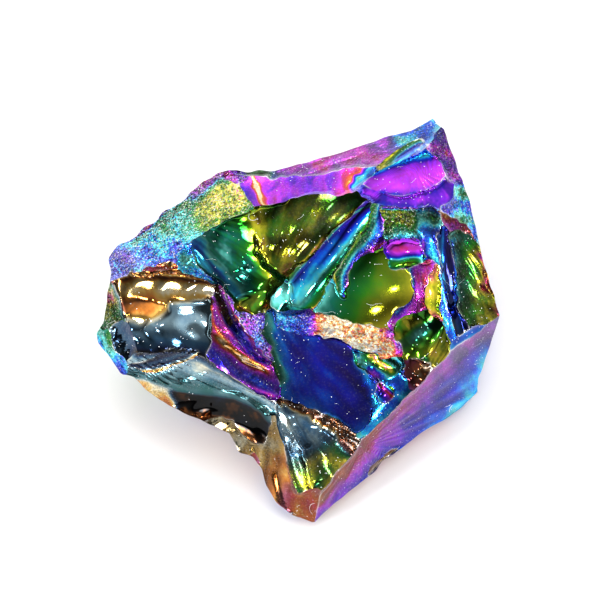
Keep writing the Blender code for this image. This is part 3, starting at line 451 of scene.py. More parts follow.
class Relief:
    """The broken front: a height over the u, v plane and the scar that makes it."""

    def __init__(self):
        self.spots = np.array(SPOTS, float)
        self.weights = self.bend_plate()
        self.names = [*SCARS, *CHIPS]
        self.scars = [self.fit_scar(*row) for row in (*SCARS.values(), *CHIPS.values())]

    def bend_plate(self):
        """Bend a thin plate close to the spot heights."""
        flat = self.spots[:, :2]
        count = len(flat)
        system = np.zeros((count + 3, count + 3))
        gaps = ((flat[:, None] - flat[None]) ** 2).sum(-1)
        system[:count, :count] = plate_kernel(gaps) + PLATE_GIVE * np.eye(count)
        system[:count, count] = 1
        system[count, :count] = 1
        system[:count, count + 1:] = flat
        system[count + 1:, :count] = flat.T
        heights = np.append(self.spots[:, 2], (0, 0, 0))
        return np.linalg.solve(system, heights)

    def broad(self, p):
        """Return the height of the broad form."""
        count = len(self.spots)
        gaps = ((p[:, None] - self.spots[None, :, :2]) ** 2).sum(-1)
        return plate_kernel(gaps) @ self.weights[:count] + self.weights[count] + p @ self.weights[count + 1:]

    def fit_scar(self, dish, outline):
        """Lay a plane through a scar's outline and find its two axes."""
        line = curve_through(outline)
        middle = line.mean(0)
        arm = line - middle
        widths, axes = np.linalg.eigh(arm.T @ arm / len(arm))
        reach = np.sqrt(2 * widths)
        rows = np.c_[np.ones(len(arm)), arm]
        plane = np.linalg.lstsq(rows, self.broad(line), rcond=None)[0]
        return dish, line, middle, axes, reach, plane

    def height(self, flat):
        """Return the height at flat points and the number of the scar there."""
        edged = flat
        for row in EDGE_WANDER:
            edged = wander(edged, *row)
        top = self.broad(flat) + CREST_LIMIT
        scar_at = np.full(len(flat), -1)
        margin = 4.0
        for number, (dish, line, middle, axes, reach, plane) in enumerate(self.scars[:len(SCARS)]):
            low = line.min(0) - margin
            high = line.max(0) + margin
            close = np.where(((flat > low) & (flat < high)).all(1))[0]
            if not len(close):
                continue
            arm = flat[close] - middle
            along = (arm @ axes) / reach
            level = plane[0] + arm @ plane[1:] - dish * (1 - (along**2).sum(1))
            level = level + WALL_SLOPE * np.maximum(0, outside(edged[close], line))
            level = level + ripple(flat[close], self.names[number])
            lower = level < top[close]
            top[close[lower]] = level[lower]
            scar_at[close[lower]] = number
        for number in range(len(SCARS), len(self.names)):
            depth, line, middle, axes, reach, _ = self.scars[number]
            inside = np.where(outside(edged, line) < 0)[0]
            along = ((flat[inside] - middle) @ axes) / reach
            bowl = depth * np.clip(1 - (along**2).sum(1), CHIP_EDGE, 1)
            top[inside] += ripple(flat[inside], self.names[number]) - bowl
            scar_at[inside] = number
        for u, v, end_u, end_v, width, height in SWELLS:
            top += height * np.exp(-((distance(flat, [(u, v), (end_u, end_v)]) / width) ** 2))
        return top, scar_at


def unit(q):
    """Return the directions at length one."""
    return q / np.linalg.norm(q, axis=1, keepdims=True)


def spread(point):
    """Carry points from where they appear on the plane to where they are."""
    centre = np.array(VIEW_CENTRE)
    flat = centre + (point[:, :2] - centre) * (1 - point[:, 2:] / VIEW_DISTANCE)
    return np.c_[flat, point[:, 2]]


# The front takes this share of the unit ball, and numbers from BACK up are the back's sides. Each
# point of the back is sought within FARTHEST millimetres by halving that distance.
FRONT_SHARE = 0.86
BACK = 1000
FARTHEST = 80.0
BACK_HALVINGS = 30


class Stone:
    """The whole surface, for any direction on the unit ball."""

    def __init__(self):
        self.relief = Relief()
        self.rim = np.array(SILHOUETTE, float)
        self.rim_polar = math.acos(1 - 2 * FRONT_SHARE)
        turns = np.linspace(-math.pi, math.pi, 721)
        ring = self.rim_points(turns)
        self.rim_3d = spread(np.c_[ring, self.relief.height(ring)[0]])
        self.faces = []
        for turn, lean, stand_off in BACK_FACES:
            turn = math.radians(turn)
            lean = math.radians(lean)
            flat = math.cos(lean)
            normal = np.array((flat * math.cos(turn), flat * math.sin(turn), -math.sin(lean)))
            offset = (self.rim_3d @ normal).max() + stand_off
            self.faces.append((normal, offset, offset * normal + BLOW_REACH * np.cross(normal, BLOW_SIDE)))
        down = np.array((0, -math.sin(LEAN), -math.cos(LEAN)))
        self.faces.append((down, BASE_DEPTH, None))

    def rim_points(self, turn):
        """Return where a ray at each turn leaves the silhouette."""
        ray = np.c_[np.cos(turn), np.sin(turn)]
        start = self.rim
        edge = np.roll(start, -1, 0) - start
        across = ray[:, None, 0] * edge[None, :, 1] - ray[:, None, 1] * edge[None, :, 0]
        reach = (start[:, 0] * edge[:, 1] - start[:, 1] * edge[:, 0])[None] / across
        place = (start[None, :, 0] * ray[:, None, 1] - start[None, :, 1] * ray[:, None, 0]) / across
        hit = (reach > 0) & (place >= -1e-9) & (place <= 1 + 1e-9)
        return ray * np.where(hit, reach, 0).max(1)[:, None]

    def back_sides(self, p, rim_radius, rim_height):
        """Return how far points lie outside each limit of the back."""
        limits = [np.hypot(p[:, 0], p[:, 1]) - rim_radius + SIDE_TAPER * (rim_height - p[:, 2])]
        for normal, offset, blow in self.faces:
            limit = p @ normal - offset
            if blow is not None:
                reach = np.linalg.norm(p - blow, axis=1) + BLOW_WANDER * np.sin(p @ BLOW_WAVES)
                limit = limit + BACK_RIPPLE * (1 + np.sin(math.tau * reach / BACK_SPACING))
            limits.append(limit)
        for middle, radius in SCOOPS:
            reach = np.linalg.norm(p - np.array(middle, float), axis=1)
            swell = SCOOP_SWELL * np.sin(math.tau * p @ SCOOP_WAVES)
            limits.append(radius - reach + swell * (reach < radius + 3))
        return np.stack(limits, 1)

    def place(self, q):
        """Return the surface point, its scar or face, and where it appears on the plane."""
        polar = np.arccos(np.clip(q[:, 2], -1, 1))
        turn = np.arctan2(q[:, 1], q[:, 0])
        rim = self.rim_points(turn)
        middle, width, reach = GRAIN_RIM
        reach = RIM_WANDER + reach * np.exp(-(((turn - middle) / width) ** 2))
        rim = rim * (1 + reach * waves(rim, *RIM_WAVES) / np.hypot(rim[:, 0], rim[:, 1]))[:, None]
        point = np.zeros((len(q), 3))
        number = np.zeros(len(q), int)
        seen = rim.copy()

        front = np.where(polar < self.rim_polar)[0]
        share = np.sqrt((1 - np.cos(polar[front])) / (2 * FRONT_SHARE))
        seen[front] = rim[front] * share[:, None]
        height, scar_at = self.relief.height(seen[front])
        point[front] = spread(np.c_[seen[front], height])
        number[front] = scar_at

        back = np.where(polar >= self.rim_polar)[0]
        if len(back):
            core = np.array((0, 0, -CORE_DEPTH))
            edge = spread(np.c_[rim[back], self.relief.height(rim[back])[0]])
            rim_height = edge[:, 2]
            rim_radius = np.hypot(edge[:, 0], edge[:, 1])
            first = unit(edge - core)
            swing = np.arccos(np.clip(-first[:, 2], -1, 1))
            share = (polar[back] - self.rim_polar) / (math.pi - self.rim_polar)
            ray = np.sin((1 - share) * swing)[:, None] * first
            ray[:, 2] -= np.sin(share * swing)
            ray = unit(ray)
            low = np.zeros(len(back))
            high = np.full(len(back), FARTHEST)
            for _ in range(BACK_HALVINGS):
                mid = (low + high) / 2
                out = self.back_sides(core + mid[:, None] * ray, rim_radius, rim_height).max(1) > 0
                high = np.where(out, mid, high)
                low = np.where(out, low, mid)
            point[back] = core + low[:, None] * ray
            sides = self.back_sides(point[back], rim_radius, rim_height)
            number[back] = BACK + sides.argmax(1)
        return point, number, seen


# How often the grid is drawn to the arrises, and how finely each crossing is sought.
SNAP_ROUNDS = 2
SNAP_HALVINGS = 8


def draw_to_arrises(stone, q, edges):
    """Move the vertices nearest to the arrises onto them."""
    number = stone.place(q)[1]
    a, b = edges[number[edges[:, 0]] != number[edges[:, 1]]].T
    low = np.zeros(len(a))
    high = np.ones(len(a))
    for _ in range(SNAP_HALVINGS):
        mid = (low + high) / 2
        here = unit(q[a] + mid[:, None] * (q[b] - q[a]))
        same = stone.place(here)[1] == number[a]
        low = np.where(same, mid, low)
        high = np.where(same, high, mid)
    mid = (low + high) / 2
    crossing = unit(q[a] + mid[:, None] * (q[b] - q[a]))
    nearer = np.where(mid < 0.5, a, b)
    order = np.argsort(-np.minimum(mid, 1 - mid))
    moved = q.copy()
    moved[nearer[order]] = crossing[order]
    return moved


# Rainbow coat of the stone
# A metal film a few hundred nanometres thick, vapour-laid, so its colour follows its thickness:
# each scar took its own, and it shifts along the scar and towards the arrises. Its shade also
# holds painted shade and painted highlights for what the mirror-like film would reflect.

# How the film changes within a scar: per millimetre to the right and up, at the arris, and in its
# mottles. Last, how grained the scar is.
CHANGES = {
    "top_flank": (0.001, 0.004, 0.05, 0.04, 0.22), "violet_band": (0.0, 0.0, 0.02, 0.03, 0.1),
    "lens_chip": (0.0, 0.0, 0.0, 0.01, 0.0), "lens_lip": (0.0, 0.0, 0.1, 0.04, 0.0),
    "end_chip": (0.0, 0.0, 0.05, 0.16, 0.6), "apex_flank": (0.02, 0.012, 0.1, 0.1, 0.5),
    "apex_blade": (0.0, 0.0, 0.0, 0.03, 0.1), "grain_crown": (0.003, 0.0, 0.0, 0.03, 1.0),
    "grain_slope": (0.014, 0.006, 0.0, 0.07, 1.0), "grain_foot": (0.012, 0.01, 0.0, 0.09, 0.9),
    "grain_toe": (-0.01, 0.0, 0.05, 0.06, 0.4), "ember_notch": (0.0, 0.0, 0.0, 0.05, 0.2),
    "left_green": (0.0, 0.0, 0.05, 0.03, 0.0), "upper_green": (0.0, 0.0, 0.04, 0.03, 0.05),
    "low_green": (0.01, 0.0, 0.05, 0.04, 0.0), "flute_front": (0.0, -0.007, 0.04, 0.03, 0.0),
    "flute_toe": (0.0, 0.0, 0.04, 0.03, 0.0), "flute_inner": (0.0, 0.0, 0.0, 0.02, 0.3),
    "dish": (0.0, 0.0, 0.03, 0.01, 0.0), "brow": (0.0, 0.0, 0.0, 0.05, 0.5),
    "eye": (0.0, 0.02, 0.12, 0.02, 0.0), "eye_lower": (0.0, 0.03, -0.3, 0.03, 0.0),
    "fork": (0.0, 0.0, 0.0, 0.03, 0.2), "leaf": (0.0, 0.0, 0.0, 0.03, 0.0),
    "rib": (0.0, 0.0, 0.0, 0.03, 0.2), "knot": (0.0, 0.0, 0.0, 0.06, 0.15),
    "dark_flute": (0.0, 0.0, 0.0, 0.04, 0.0), "right_green": (0.0, 0.0, 0.0, 0.04, 0.1),
    "rust_corner": (0.0, 0.0, 0.08, 0.08, 0.2), "drum": (0.0, 0.0, 0.0, 0.04, 0.0),
    "gold_sliver": (0.0, 0.0, 0.06, 0.05, 0.0), "navy_strip": (0.0, 0.0, 0.1, 0.03, 0.0),
    "pit": (0.0, 0.0, 0.1, 0.06, 0.0), "ledge": (0.0, 0.0, 0.0, 0.03, 0.75),
    "ripple_steps": (0.02, 0.05, 0.1, 0.12, 0.1), "blue_floor": (0.0, 0.0, 0.05, 0.015, 0.05),
    "cyan_foot": (0.0, 0.0, 0.03, 0.04, 0.1), "frost_edge": (0.02, 0.0, 0.0, 0.1, 1.0),
    "plum_face": (0.0, 0.0, 0.0, 0.03, 0.1), "gold_arris": (0.0, 0.0, 0.02, 0.04, 0.2),
    "violet_face": (0.0, 0.0, 0.0, 0.04, 0.1), "gold_crest": (0.0, 0.0, 0.0, 0.06, 0.0),
    "amber_patch": (0.01, -0.01, 0.0, 0.04, 0.0), "steel_bowl": (0.0, 0.0, 0.0, 0.03, 0.0),
    "left_rim": (0.0, 0.01, 0.0, 0.1, 0.6), "pearl_chip": (0.07, 0.0, 0.0, 0.08, 0.1),
    "rainbow_chip": (0.05, 0.06, 0.0, 0.1, 0.4), "steel_band": (0.0, 0.0, 0.0, 0.05, 0.15),
    "black_trough": (0.0, 0.0, 0.0, 0.06, 0.0), "bright_heel": (0.0, 0.02, 0.0, 0.1, 0.3),
    "amber_skirt": (0.0, 0.0, 0.0, 0.06, 0.1), "fan_left": (0.0, 0.0, 0.0, 0.06, 0.15),
    "fan_right": (0.0, 0.0, 0.0, 0.08, 0.05), "tip_face": (0.02, 0.0, 0.0, 0.05, 0.1),
    "splinters": (0.0, 0.0, 0.0, 0.1, 0.15), "striated_lip": (0.0, 0.0, 0.0, 0.05, 0.1),
    "rainbow_eye": (0.0, 0.0, 0.0, 0.02, 0.0), "flank_chip": (0.0, 0.0, 0.0, 0.04, 0.1),
    "heel_chip": (0.0, 0.02, 0.0, 0.06, 0.2), "crown_chip": (0.02, 0.03, 0.0, 0.06, 0.6),
    "long_flank": (0.0085, 0.0, 0.0, 0.03, 0.1),
}

# Scars of one colour: film, how steely it is, and shade: the film's own darkness, with painted
# shade and painted light for what the scar would mirror.
PLAIN = {
    "lens_lip": (0.225, 0.0, 1.1), "end_chip": (0.46, 0.0, 1.0), "apex_flank": (0.24, 0.1, 0.8),
    "grain_foot": (0.4, 0.1, 0.9), "grain_toe": (0.47, 0.0, 0.8), "ember_notch": (0.07, 0.2, 0.5),
    "low_green": (0.77, 0.0, 0.6), "flute_toe": (0.55, 0.1, 1.1), "eye": (0.16, 0.0, 1.0),
    "eye_lower": (0.86, 0.0, 1.0), "rust_corner": (0.07, 0.1, 0.35), "gold_sliver": (0.82, 0.1, 0.6),
    "navy_strip": (0.38, 0.0, 0.5), "pit": (0.04, 0.3, 0.15), "cyan_foot": (0.455, 0.0, 0.9),
    "frost_edge": (0.3, 0.1, 0.9), "left_rim": (0.8, 0.3, 0.6), "pearl_chip": (0.72, 1.0, 0.8),
    "rainbow_chip": (0.5, 0.0, 0.9), "bright_heel": (0.3, 1.0, 0.8), "tip_face": (0.06, 0.3, 0.5),
    "splinters": (0.14, 1.0, 0.2), "heel_chip": (0.1, 0.6, 0.6), "crown_chip": (0.26, 0.0, 0.6),
}

# Scars whose colour runs across them: the side it starts from, the side it runs to, and rows of
# share of the way, film, shade and how steely it is. The shade holds painted shade where the film
# would mirror dark, and painted highlights, above 1, on bright bands and ridges. The bands wander a
# little.
BANDS = {
    # Where left_green meets upper_green, the pale yellow at shade above 1 is partly a painted highlight.
    "left_green": ([(-18.6, 12.8), (-16, 9), (-12.2, 6), (-10, 3.2)],
                   [(-8, 18.3), (-7.4, 14), (-6.4, 10.4), (-4.4, 7.2)],
                   [(0, 0.41, 0.25, 0), (0.15, 0.44, 0.25, 0), (0.28, 0.58, 0.4, 0), (0.5, 0.61, 0.8, 0),
                    (0.75, 0.67, 0.8, 0), (0.92, 0.79, 1.0, 0), (1, 0.83, 1.2, 0)]),
    "upper_green": ([(-8, 18.3), (-7.4, 14), (-6.4, 10.4), (-4.4, 7.2)],
                    [(12.2, 20), (5.7, 15.5), (1.6, 11), (-0.6, 8.8)],
                    [(0, 0.83, 1.2, 0), (0.12, 0.8, 0.9, 0), (0.3, 0.74, 0.5, 0), (0.55, 0.79, 0.5, 0),
                     (0.8, 0.78, 0.25, 0), (0.95, 0.72, 0.2, 0), (1, 0.84, 1.0, 0)]),
    # The flute's bright bands at shade 1.3 and its dark edges are painted highlight and painted shade.
    "flute_front": ([(12.4, 19.7), (8.2, 17.5), (3.3, 13), (-0.4, 8.8), (-2.8, 6.4), (-1.6, 2.8)],
                    [(12, 18), (8.6, 12.2), (5.6, 8), (3.6, 3.4), (2, 2)],
                    [(0, 0.7, 0.6, 0), (0.05, 0.58, 0.35, 0), (0.12, 0.37, 0.3, 0), (0.22, 0.41, 0.7, 0),
                     (0.36, 0.455, 1.3, 0), (0.44, 0.44, 1.0, 0), (0.52, 0.47, 1.3, 0),
                     (0.62, 0.5, 1.3, 0), (0.72, 0.55, 1.0, 0), (0.82, 0.6, 0.7, 0), (0.92, 0.65, 0.7, 0),
                     (1, 0.83, 1.1, 0)]),
    "flute_inner": ([(12.4, 19.7), (10.7, 15.5), (8.6, 12.2), (5.6, 8), (6, 5.2)],
                    [(13.6, 18.8), (14.6, 13.4), (12.3, 12), (9.8, 10.6), (8.2, 8.1), (7.6, 4.4)],
                    [(0, 0.83, 1.1, 0), (0.12, 0.66, 0.6, 0), (0.35, 0.6, 0.7, 0), (0.5, 0.5, 1.1, 0),
                     (0.65, 0.42, 0.8, 0), (0.8, 0.34, 0.5, 0), (0.92, 0.22, 0.9, 0), (1, 0.08, 1.0, 0)]),
    "dish": ([(4.6, 6), (3.6, 3.4), (2, 2), (3.6, 1.1)],
             [(17.6, 8.8), (18.4, 6.4), (17.8, 3.2), (15.8, 1.6)],
             [(0, 0.5, 1.0, 0), (0.08, 0.56, 0.7, 0), (0.25, 0.62, 0.75, 0), (0.45, 0.69, 0.75, 0),
              (0.65, 0.79, 0.8, 0), (1, 0.83, 0.8, 0)]),
    "blue_floor": ([(-6.4, 0.6), (-6, -2), (-4.4, -6.4), (-3.4, -9)],
                   [(9, -6.2), (10.8, -8.2), (12.4, -13.2)],
                   [(0, 0.6, 0.25, 0), (0.06, 0.56, 0.3, 0), (0.12, 0.44, 0.45, 0), (0.22, 0.39, 0.6, 0),
                    (0.5, 0.37, 0.6, 0), (0.8, 0.36, 0.5, 0), (0.93, 0.38, 0.3, 0), (1, 0.46, 0.9, 0)]),
    "ledge": ([(-4.6, 1.6), (-3.4, -0.8)], [(14.8, -1.6), (16.6, -4.2)],
              [(0, 0.5, 1.0, 0), (0.14, 0.44, 0.9, 0), (0.24, 0.37, 0.9, 0), (0.3, 0.22, 1.0, 0),
               (0.36, 0.05, 1.3, 0), (0.42, 0.0, 1.3, 0), (0.7, 0.005, 1.3, 0), (0.9, 0.03, 1.3, 0),
               (0.95, 0.08, 1.1, 0), (1, 0.25, 0.9, 0)]),
    "long_flank": ([(33, 0), (24.8, -5), (18.4, -11.4), (11, -18.3), (8.4, -22.6), (3.2, -29)],
                   [(31, -6), (29.3, -11), (23.5, -16), (13, -24), (7, -28.8), (2.3, -33)],
                   [(0, 0.15, 0.45, 0.3), (0.2, 0.19, 0.4, 0.2), (0.4, 0.25, 0.5, 0.05),
                    (0.6, 0.3, 0.6, 0), (0.85, 0.36, 0.7, 0), (1, 0.41, 0.85, 0)]),
    "gold_crest": ([(-32, 7), (-27, 8.2), (-20.4, 8), (-16, 7.2), (-12.2, 6)],
                   [(-29.6, 3), (-26, 4.2), (-21, 3.4), (-18, 3.6), (-14.4, 4.2)],
                   [(0, 0.1, 0.4, 1), (0.08, 0.42, 0.8, 1), (0.16, 0.1, 0.3, 1), (0.35, 0.35, 0.6, 1),
                    (0.7, 0.35, 0.65, 1), (1, 0.2, 0.5, 1)]),
    "amber_patch": ([(-29.6, 3), (-26, 4.2), (-21, 3.4)], [(-28.6, 0.4), (-25, -0.4), (-21.4, 1.4)],
                    [(0, 0.02, 0.4, 1), (0.25, 0.2, 1.1, 1), (0.6, 0.25, 1.3, 1), (0.85, 0.31, 1.3, 1),
                     (1, 0.48, 0.8, 1)]),
    "steel_bowl": ([(-21, 3.4), (-14.8, 4)], [(-26.6, -5.2), (-19, -4.6), (-15.6, -6)],
                   [(0, 0.7, 0.9, 1), (0.25, 0.62, 1.2, 1), (0.5, 0.57, 1.3, 1), (0.72, 0.62, 1.1, 1),
                    (0.9, 0.74, 0.8, 1), (1, 0.9, 0.4, 1)]),
    "steel_band": ([(-26.6, -5.2), (-19, -4.6), (-15.6, -6), (-10, -9.8), (-3.8, -13.4)],
                   [(-26.5, -9.5), (-20, -11), (-12, -11.4), (-7.4, -13), (-4.6, -15.4)],
                   [(0, 0.92, 0.4, 1), (0.1, 0.74, 0.8, 1), (0.22, 0.52, 1.3, 1), (0.4, 0.54, 1.3, 1),
                    (0.55, 0.62, 1.0, 0.9), (0.75, 0.65, 0.7, 0.8), (1, 0.65, 0.6, 0.7)]),
    # The trough's black middle is painted shade: the film there mirrors the pale floor.
    "black_trough": ([(-20, -11), (-12, -11.4), (-7.4, -13), (-4.6, -15.4)],
                     [(-20.5, -13.6), (-14.2, -16.2), (-11, -16.4), (-8.4, -19.6)],
                     [(0, 0.65, 0.7, 0.7), (0.14, 0.68, 0.6, 0.8), (0.24, 0.92, 0.3, 1),
                      (0.4, 0.94, 0.15, 1), (0.75, 0.94, 0.15, 1), (0.88, 0.97, 0.5, 1),
                      (1, 1.0, 1.0, 1)]),
    "amber_skirt": ([(-4.6, -15.4), (-5.8, -20), (-8.4, -19.6), (-14, -16.2)],
                    [(-1.2, -28.3), (-1.4, -33), (-5, -32)],
                    [(0, 0.37, 0.25, 1), (0.2, 0.33, 0.3, 1), (0.42, 0.22, 0.5, 1), (0.75, 0.19, 0.8, 1),
                     (0.92, 0.15, 0.6, 0.7), (1, 0.12, 0.7, 0.2)]),
    "fan_left": ([(-3.8, -13.4), (-1, -16.4)], [(-1.2, -28.3), (2.6, -27.8)],
                 [(0, 0.52, 1.1, 1), (0.25, 0.62, 0.7, 1), (0.45, 0.72, 0.5, 1), (0.6, 0.8, 0.35, 0.6),
                  (0.75, 0.81, 0.6, 0.1), (0.92, 0.84, 0.7, 0), (1, 0.86, 0.4, 0.1)]),
    "fan_right": ([(-3.4, -12.8), (1.4, -15.4)], [(2.6, -27.8), (5.4, -25.4), (8.4, -22.6)],
                  [(0, 0.66, 0.8, 1), (0.2, 0.6, 0.9, 1), (0.35, 0.66, 0.55, 1), (0.5, 0.73, 0.4, 0.95),
                   (0.65, 0.79, 0.35, 0.4), (0.8, 0.8, 0.35, 0.1), (1, 0.84, 0.5, 0.2)]),
    "violet_face": ([(-14.6, -0.6), (-12.6, -3.6), (-9.4, -6), (-5.4, -8)],
                    [(-14.8, -6.8), (-10, -9.8), (-3.4, -12.6)],
                    [(0, 0.03, 0.9, 0), (0.1, 0.08, 0.45, 0), (0.25, 0.23, 0.28, 0), (0.5, 0.32, 0.4, 0),
                     (0.8, 0.34, 0.45, 0), (0.92, 0.25, 0.45, 0), (1, 0.16, 0.7, 0)]),
    "plum_face": ([(-12.2, 6), (-10, 0.4), (-7, -3.6), (-4.4, -6.6)],
                  [(-13.6, 2), (-12.4, -1), (-9.4, -3.8), (-6.6, -5.8)],
                  [(0, 0.07, 0.6, 0), (0.2, 0.2, 0.3, 0), (0.5, 0.28, 0.22, 0), (0.8, 0.24, 0.25, 0),
                   (0.93, 0.14, 0.5, 0), (1, 0.06, 0.9, 0)]),
    "right_green": ([(25, 13), (25.6, 8), (25.4, 3)], [(29.6, 11), (31, 6.5), (33, 2)],
                    [(0, 0.42, 0.25, 0), (0.15, 0.58, 0.2, 0), (0.35, 0.66, 0.4, 0), (0.55, 0.74, 0.7, 0),
                     (0.78, 0.81, 0.5, 0), (0.92, 0.9, 0.6, 0), (1, 0.98, 0.9, 0)]),
    "leaf": ([(22.4, 9.4), (21.4, 7.8)], [(23.5, 0), (21, 2.2)],
             [(0, 0.95, 1.0, 0), (0.2, 0.88, 1.1, 0), (0.45, 0.83, 1.1, 0), (0.8, 0.8, 1.0, 0),
              (1, 0.88, 1.1, 0)]),
    "lens_chip": ([(12.3, 24.6), (15, 26), (18, 27), (21, 27.4)], [(13, 21.2), (18, 20.8), (22, 21.6)],
                  [(0, 0.53, 1.3, 0), (0.08, 0.47, 1.3, 0), (0.19, 0.27, 1.1, 0), (0.4, 0.215, 1.1, 0),
                   (0.8, 0.2, 1.1, 0), (0.96, 0.25, 1.0, 0), (1, 0.4, 1.0, 0)]),
    "violet_band": ([(-10, 22.8), (-8, 18.3)], [(12.3, 24.6), (9.5, 22.2)],
                    [(0, 0.27, 0.8, 0), (0.09, 0.21, 0.8, 0), (0.115, -0.03, 1.0, 0),
                     (0.14, -0.03, 1.0, 0), (0.165, 0.2, 0.9, 0), (0.5, 0.25, 0.75, 0),
                     (0.75, 0.21, 0.9, 0), (0.86, 0.15, 1.1, 0), (0.91, 0.03, 1.1, 0),
                     (0.95, 0.52, 1.0, 0), (1, 0.4, 0.6, 0)]),
    "drum": ([(15.2, -1.6), (17.2, 1), (21, 2.2)], [(21.8, -3.6), (20, -6.4), (17, -6.4)],
             [(0, 0.74, 0.7, 0), (0.3, 0.78, 0.6, 0), (0.4, 0.66, 0.2, 0), (0.55, 0.62, 0.2, 0),
              (0.65, 0.66, 0.7, 0), (1, 0.76, 0.9, 0)]),
    "brow": ([(13.6, 18.8), (19.4, 18.7)], [(13.8, 13.8), (18.6, 13.8)],
             [(0, 0.18, 0.9, 0), (0.12, 0.8, 0.9, 0), (0.5, 0.77, 0.7, 0), (0.72, 0.64, 0.6, 0),
              (0.9, 0.5, 1.0, 0), (1, 0.42, 0.8, 0)]),
    "knot": ([(19.4, 18.7), (22.6, 18.4)], [(20.2, 14), (22.2, 13.4)],
             [(0, 0.38, 0.3, 0), (0.3, 0.6, 0.3, 0), (0.55, 0.52, 0.7, 0), (0.75, 0.38, 0.3, 0),
              (1, 0.46, 0.8, 0)]),
    "rib": ([(20.2, 14), (20.2, 11.2), (22.4, 9.4), (23, 6), (22.9, 3)],
            [(22.2, 13.4), (23.2, 9), (23.8, 5), (24.6, 1.4)],
            [(0, 0.24, 0.8, 0), (0.2, 0.45, 1.1, 0), (0.7, 0.46, 1.1, 0), (1, 0.36, 0.4, 0)]),
    "apex_blade": ([(13, 25.4), (17.4, 29.6), (21.8, 31.3)], [(16.4, 26.5), (19.6, 28.4)],
                   [(0, 0.84, 0.8, 0), (0.2, 0.76, 0.5, 0), (0.4, 0.6, 0.5, 0), (0.6, 0.38, 0.4, 0),
                    (0.85, 0.44, 0.8, 0), (1, 0.5, 1.0, 0)]),
    "top_flank": ([(-11.7, 25), (-10, 23)], [(18, 31.4), (21, 31)],
                  [(0, 0.7, 0.25, 0.2), (0.14, 0.72, 0.25, 0.1), (0.24, 0.25, 0.6, 0.2),
                   (0.45, 0.2, 0.75, 0.25), (0.7, 0.185, 0.75, 0.35), (0.84, 0.22, 0.7, 0.2),
                   (0.93, 0.47, 0.8, 0.1), (1, 0.34, 0.7, 0)]),
    "ripple_steps": ([(15.4, -4.4), (17, -5.8)], [(8.8, -5), (9.2, -6.6), (10.8, -8.6), (13.4, -9.8)],
                     [(0, 0.5, 0.5, 0), (0.2, 0.42, 0.8, 0), (0.32, 0.6, 0.25, 0), (0.42, 0.5, 1.0, 0),
                      (0.52, 0.85, 1.2, 0), (0.6, 0.8, 0.9, 0), (0.7, 0.58, 0.35, 0),
                      (0.82, 0.46, 1.0, 0), (0.92, 0.4, 0.5, 0), (1, 0.5, 1.0, 0)]),
    "rainbow_eye": ([(14, -10.1), (15.6, -11.2)], [(12.3, -12), (13.2, -13.2)],
                    [(0, 0.84, 1.0, 0), (0.3, 0.05, 0.9, 0), (0.5, 0.25, 0.6, 0), (0.75, 0.33, 0.6, 0),
                     (1, 0.46, 1.0, 0)]),
    "striated_lip": ([(-28.4, -6.8), (-24, -5.4), (-19.5, -4.0)],
                     [(-28.4, -8), (-24, -8.2), (-19, -6.6), (-16.4, -5.2)],
                     [(0, 0.84, 0.6, 1), (0.3, 0.9, 0.5, 1), (0.5, 0.7, 0.8, 1), (0.7, 0.9, 0.4, 1),
                      (0.9, 0.4, 0.9, 1), (1, 0.2, 0.8, 1)]),
    "flank_chip": ([(11.0, -24.4), (13, -22.4), (15.6, -20.6)], [(12, -25.6), (13.8, -24), (15.6, -21.8)],
                   [(0, 0.02, 0.5, 0.8), (0.3, 0.4, 0.3, 1), (0.55, 0.34, 0.3, 0), (0.8, 0.38, 0.9, 0),
                    (1, 0.16, 0.9, 0)]),
    "gold_arris": ([(-14.8, 4), (-14.6, -0.6), (-12.6, -3.6), (-9.4, -6), (-5.4, -8)],
                   [(-14.2, 5.6), (-13.6, 2), (-12.4, -1), (-9.4, -3.8), (-6.6, -5.8), (-4, -7.8)],
                   [(0, 0.14, 0.6, 0), (0.15, 0.03, 0.9, 0), (0.28, 0.02, 1.2, 0), (0.42, 0.12, 0.45, 0),
                    (0.7, 0.22, 0.3, 0), (0.9, 0.16, 0.8, 0), (1, 0.08, 1.0, 0)]),
    "grain_crown": ([(-18.6, 20.4), (-16.4, 22.4), (-14, 24.2), (-11.7, 25)],
                    [(-16, 13), (-12, 16), (-8, 18.3)],
                    [(0, 0.22, 0.5, 0.2), (0.1, 0.26, 0.6, 0.2), (0.17, 0.6, 0.8, 0.1),
                     (0.26, 0.8, 1.3, 0.1), (0.7, 0.83, 1.3, 0.1), (0.88, 0.78, 1.1, 0),
                     (1, 0.64, 0.9, 0)]),
    "grain_slope": ([(-29.8, 12.8), (-27, 13.8), (-24.8, 15.8), (-22.3, 18.4), (-18.6, 20.4)],
                    [(-24, 9), (-20, 10), (-16, 13)],
                    [(0, 0.2, 0.5, 0.2), (0.08, 0.66, 0.5, 0), (0.22, 0.6, 0.8, 0), (0.45, 0.53, 1.1, 0),
                     (0.75, 0.48, 1.2, 0), (1, 0.42, 1.1, 0)]),
    "fork": ([(17.8, 8.8), (18.6, 6.4), (18, 3.6), (15.8, 1.6)],
             [(22.4, 10), (21.4, 7.8), (20.4, 4.6), (21, 2.2)],
             [(0, 0.55, 0.4, 0), (0.1, 0.3, 0.5, 0), (0.25, 0.18, 0.8, 0), (0.5, 0.2, 0.8, 0),
              (0.75, 0.16, 0.9, 0), (1, 0.18, 1.0, 0)]),
    "dark_flute": ([(23.6, 16), (23.2, 9), (23.8, 5), (24.6, 1.4)],
                   [(25, 13), (25.6, 8), (25.4, 3), (26.4, 0.6)],
                   [(0, 0.48, 0.8, 0), (0.15, 0.4, 0.25, 0), (0.5, 0.38, 0.06, 0), (0.85, 0.4, 0.2, 0),
                    (1, 0.5, 0.8, 0)]),
}
BAND_WANDER = 0.02

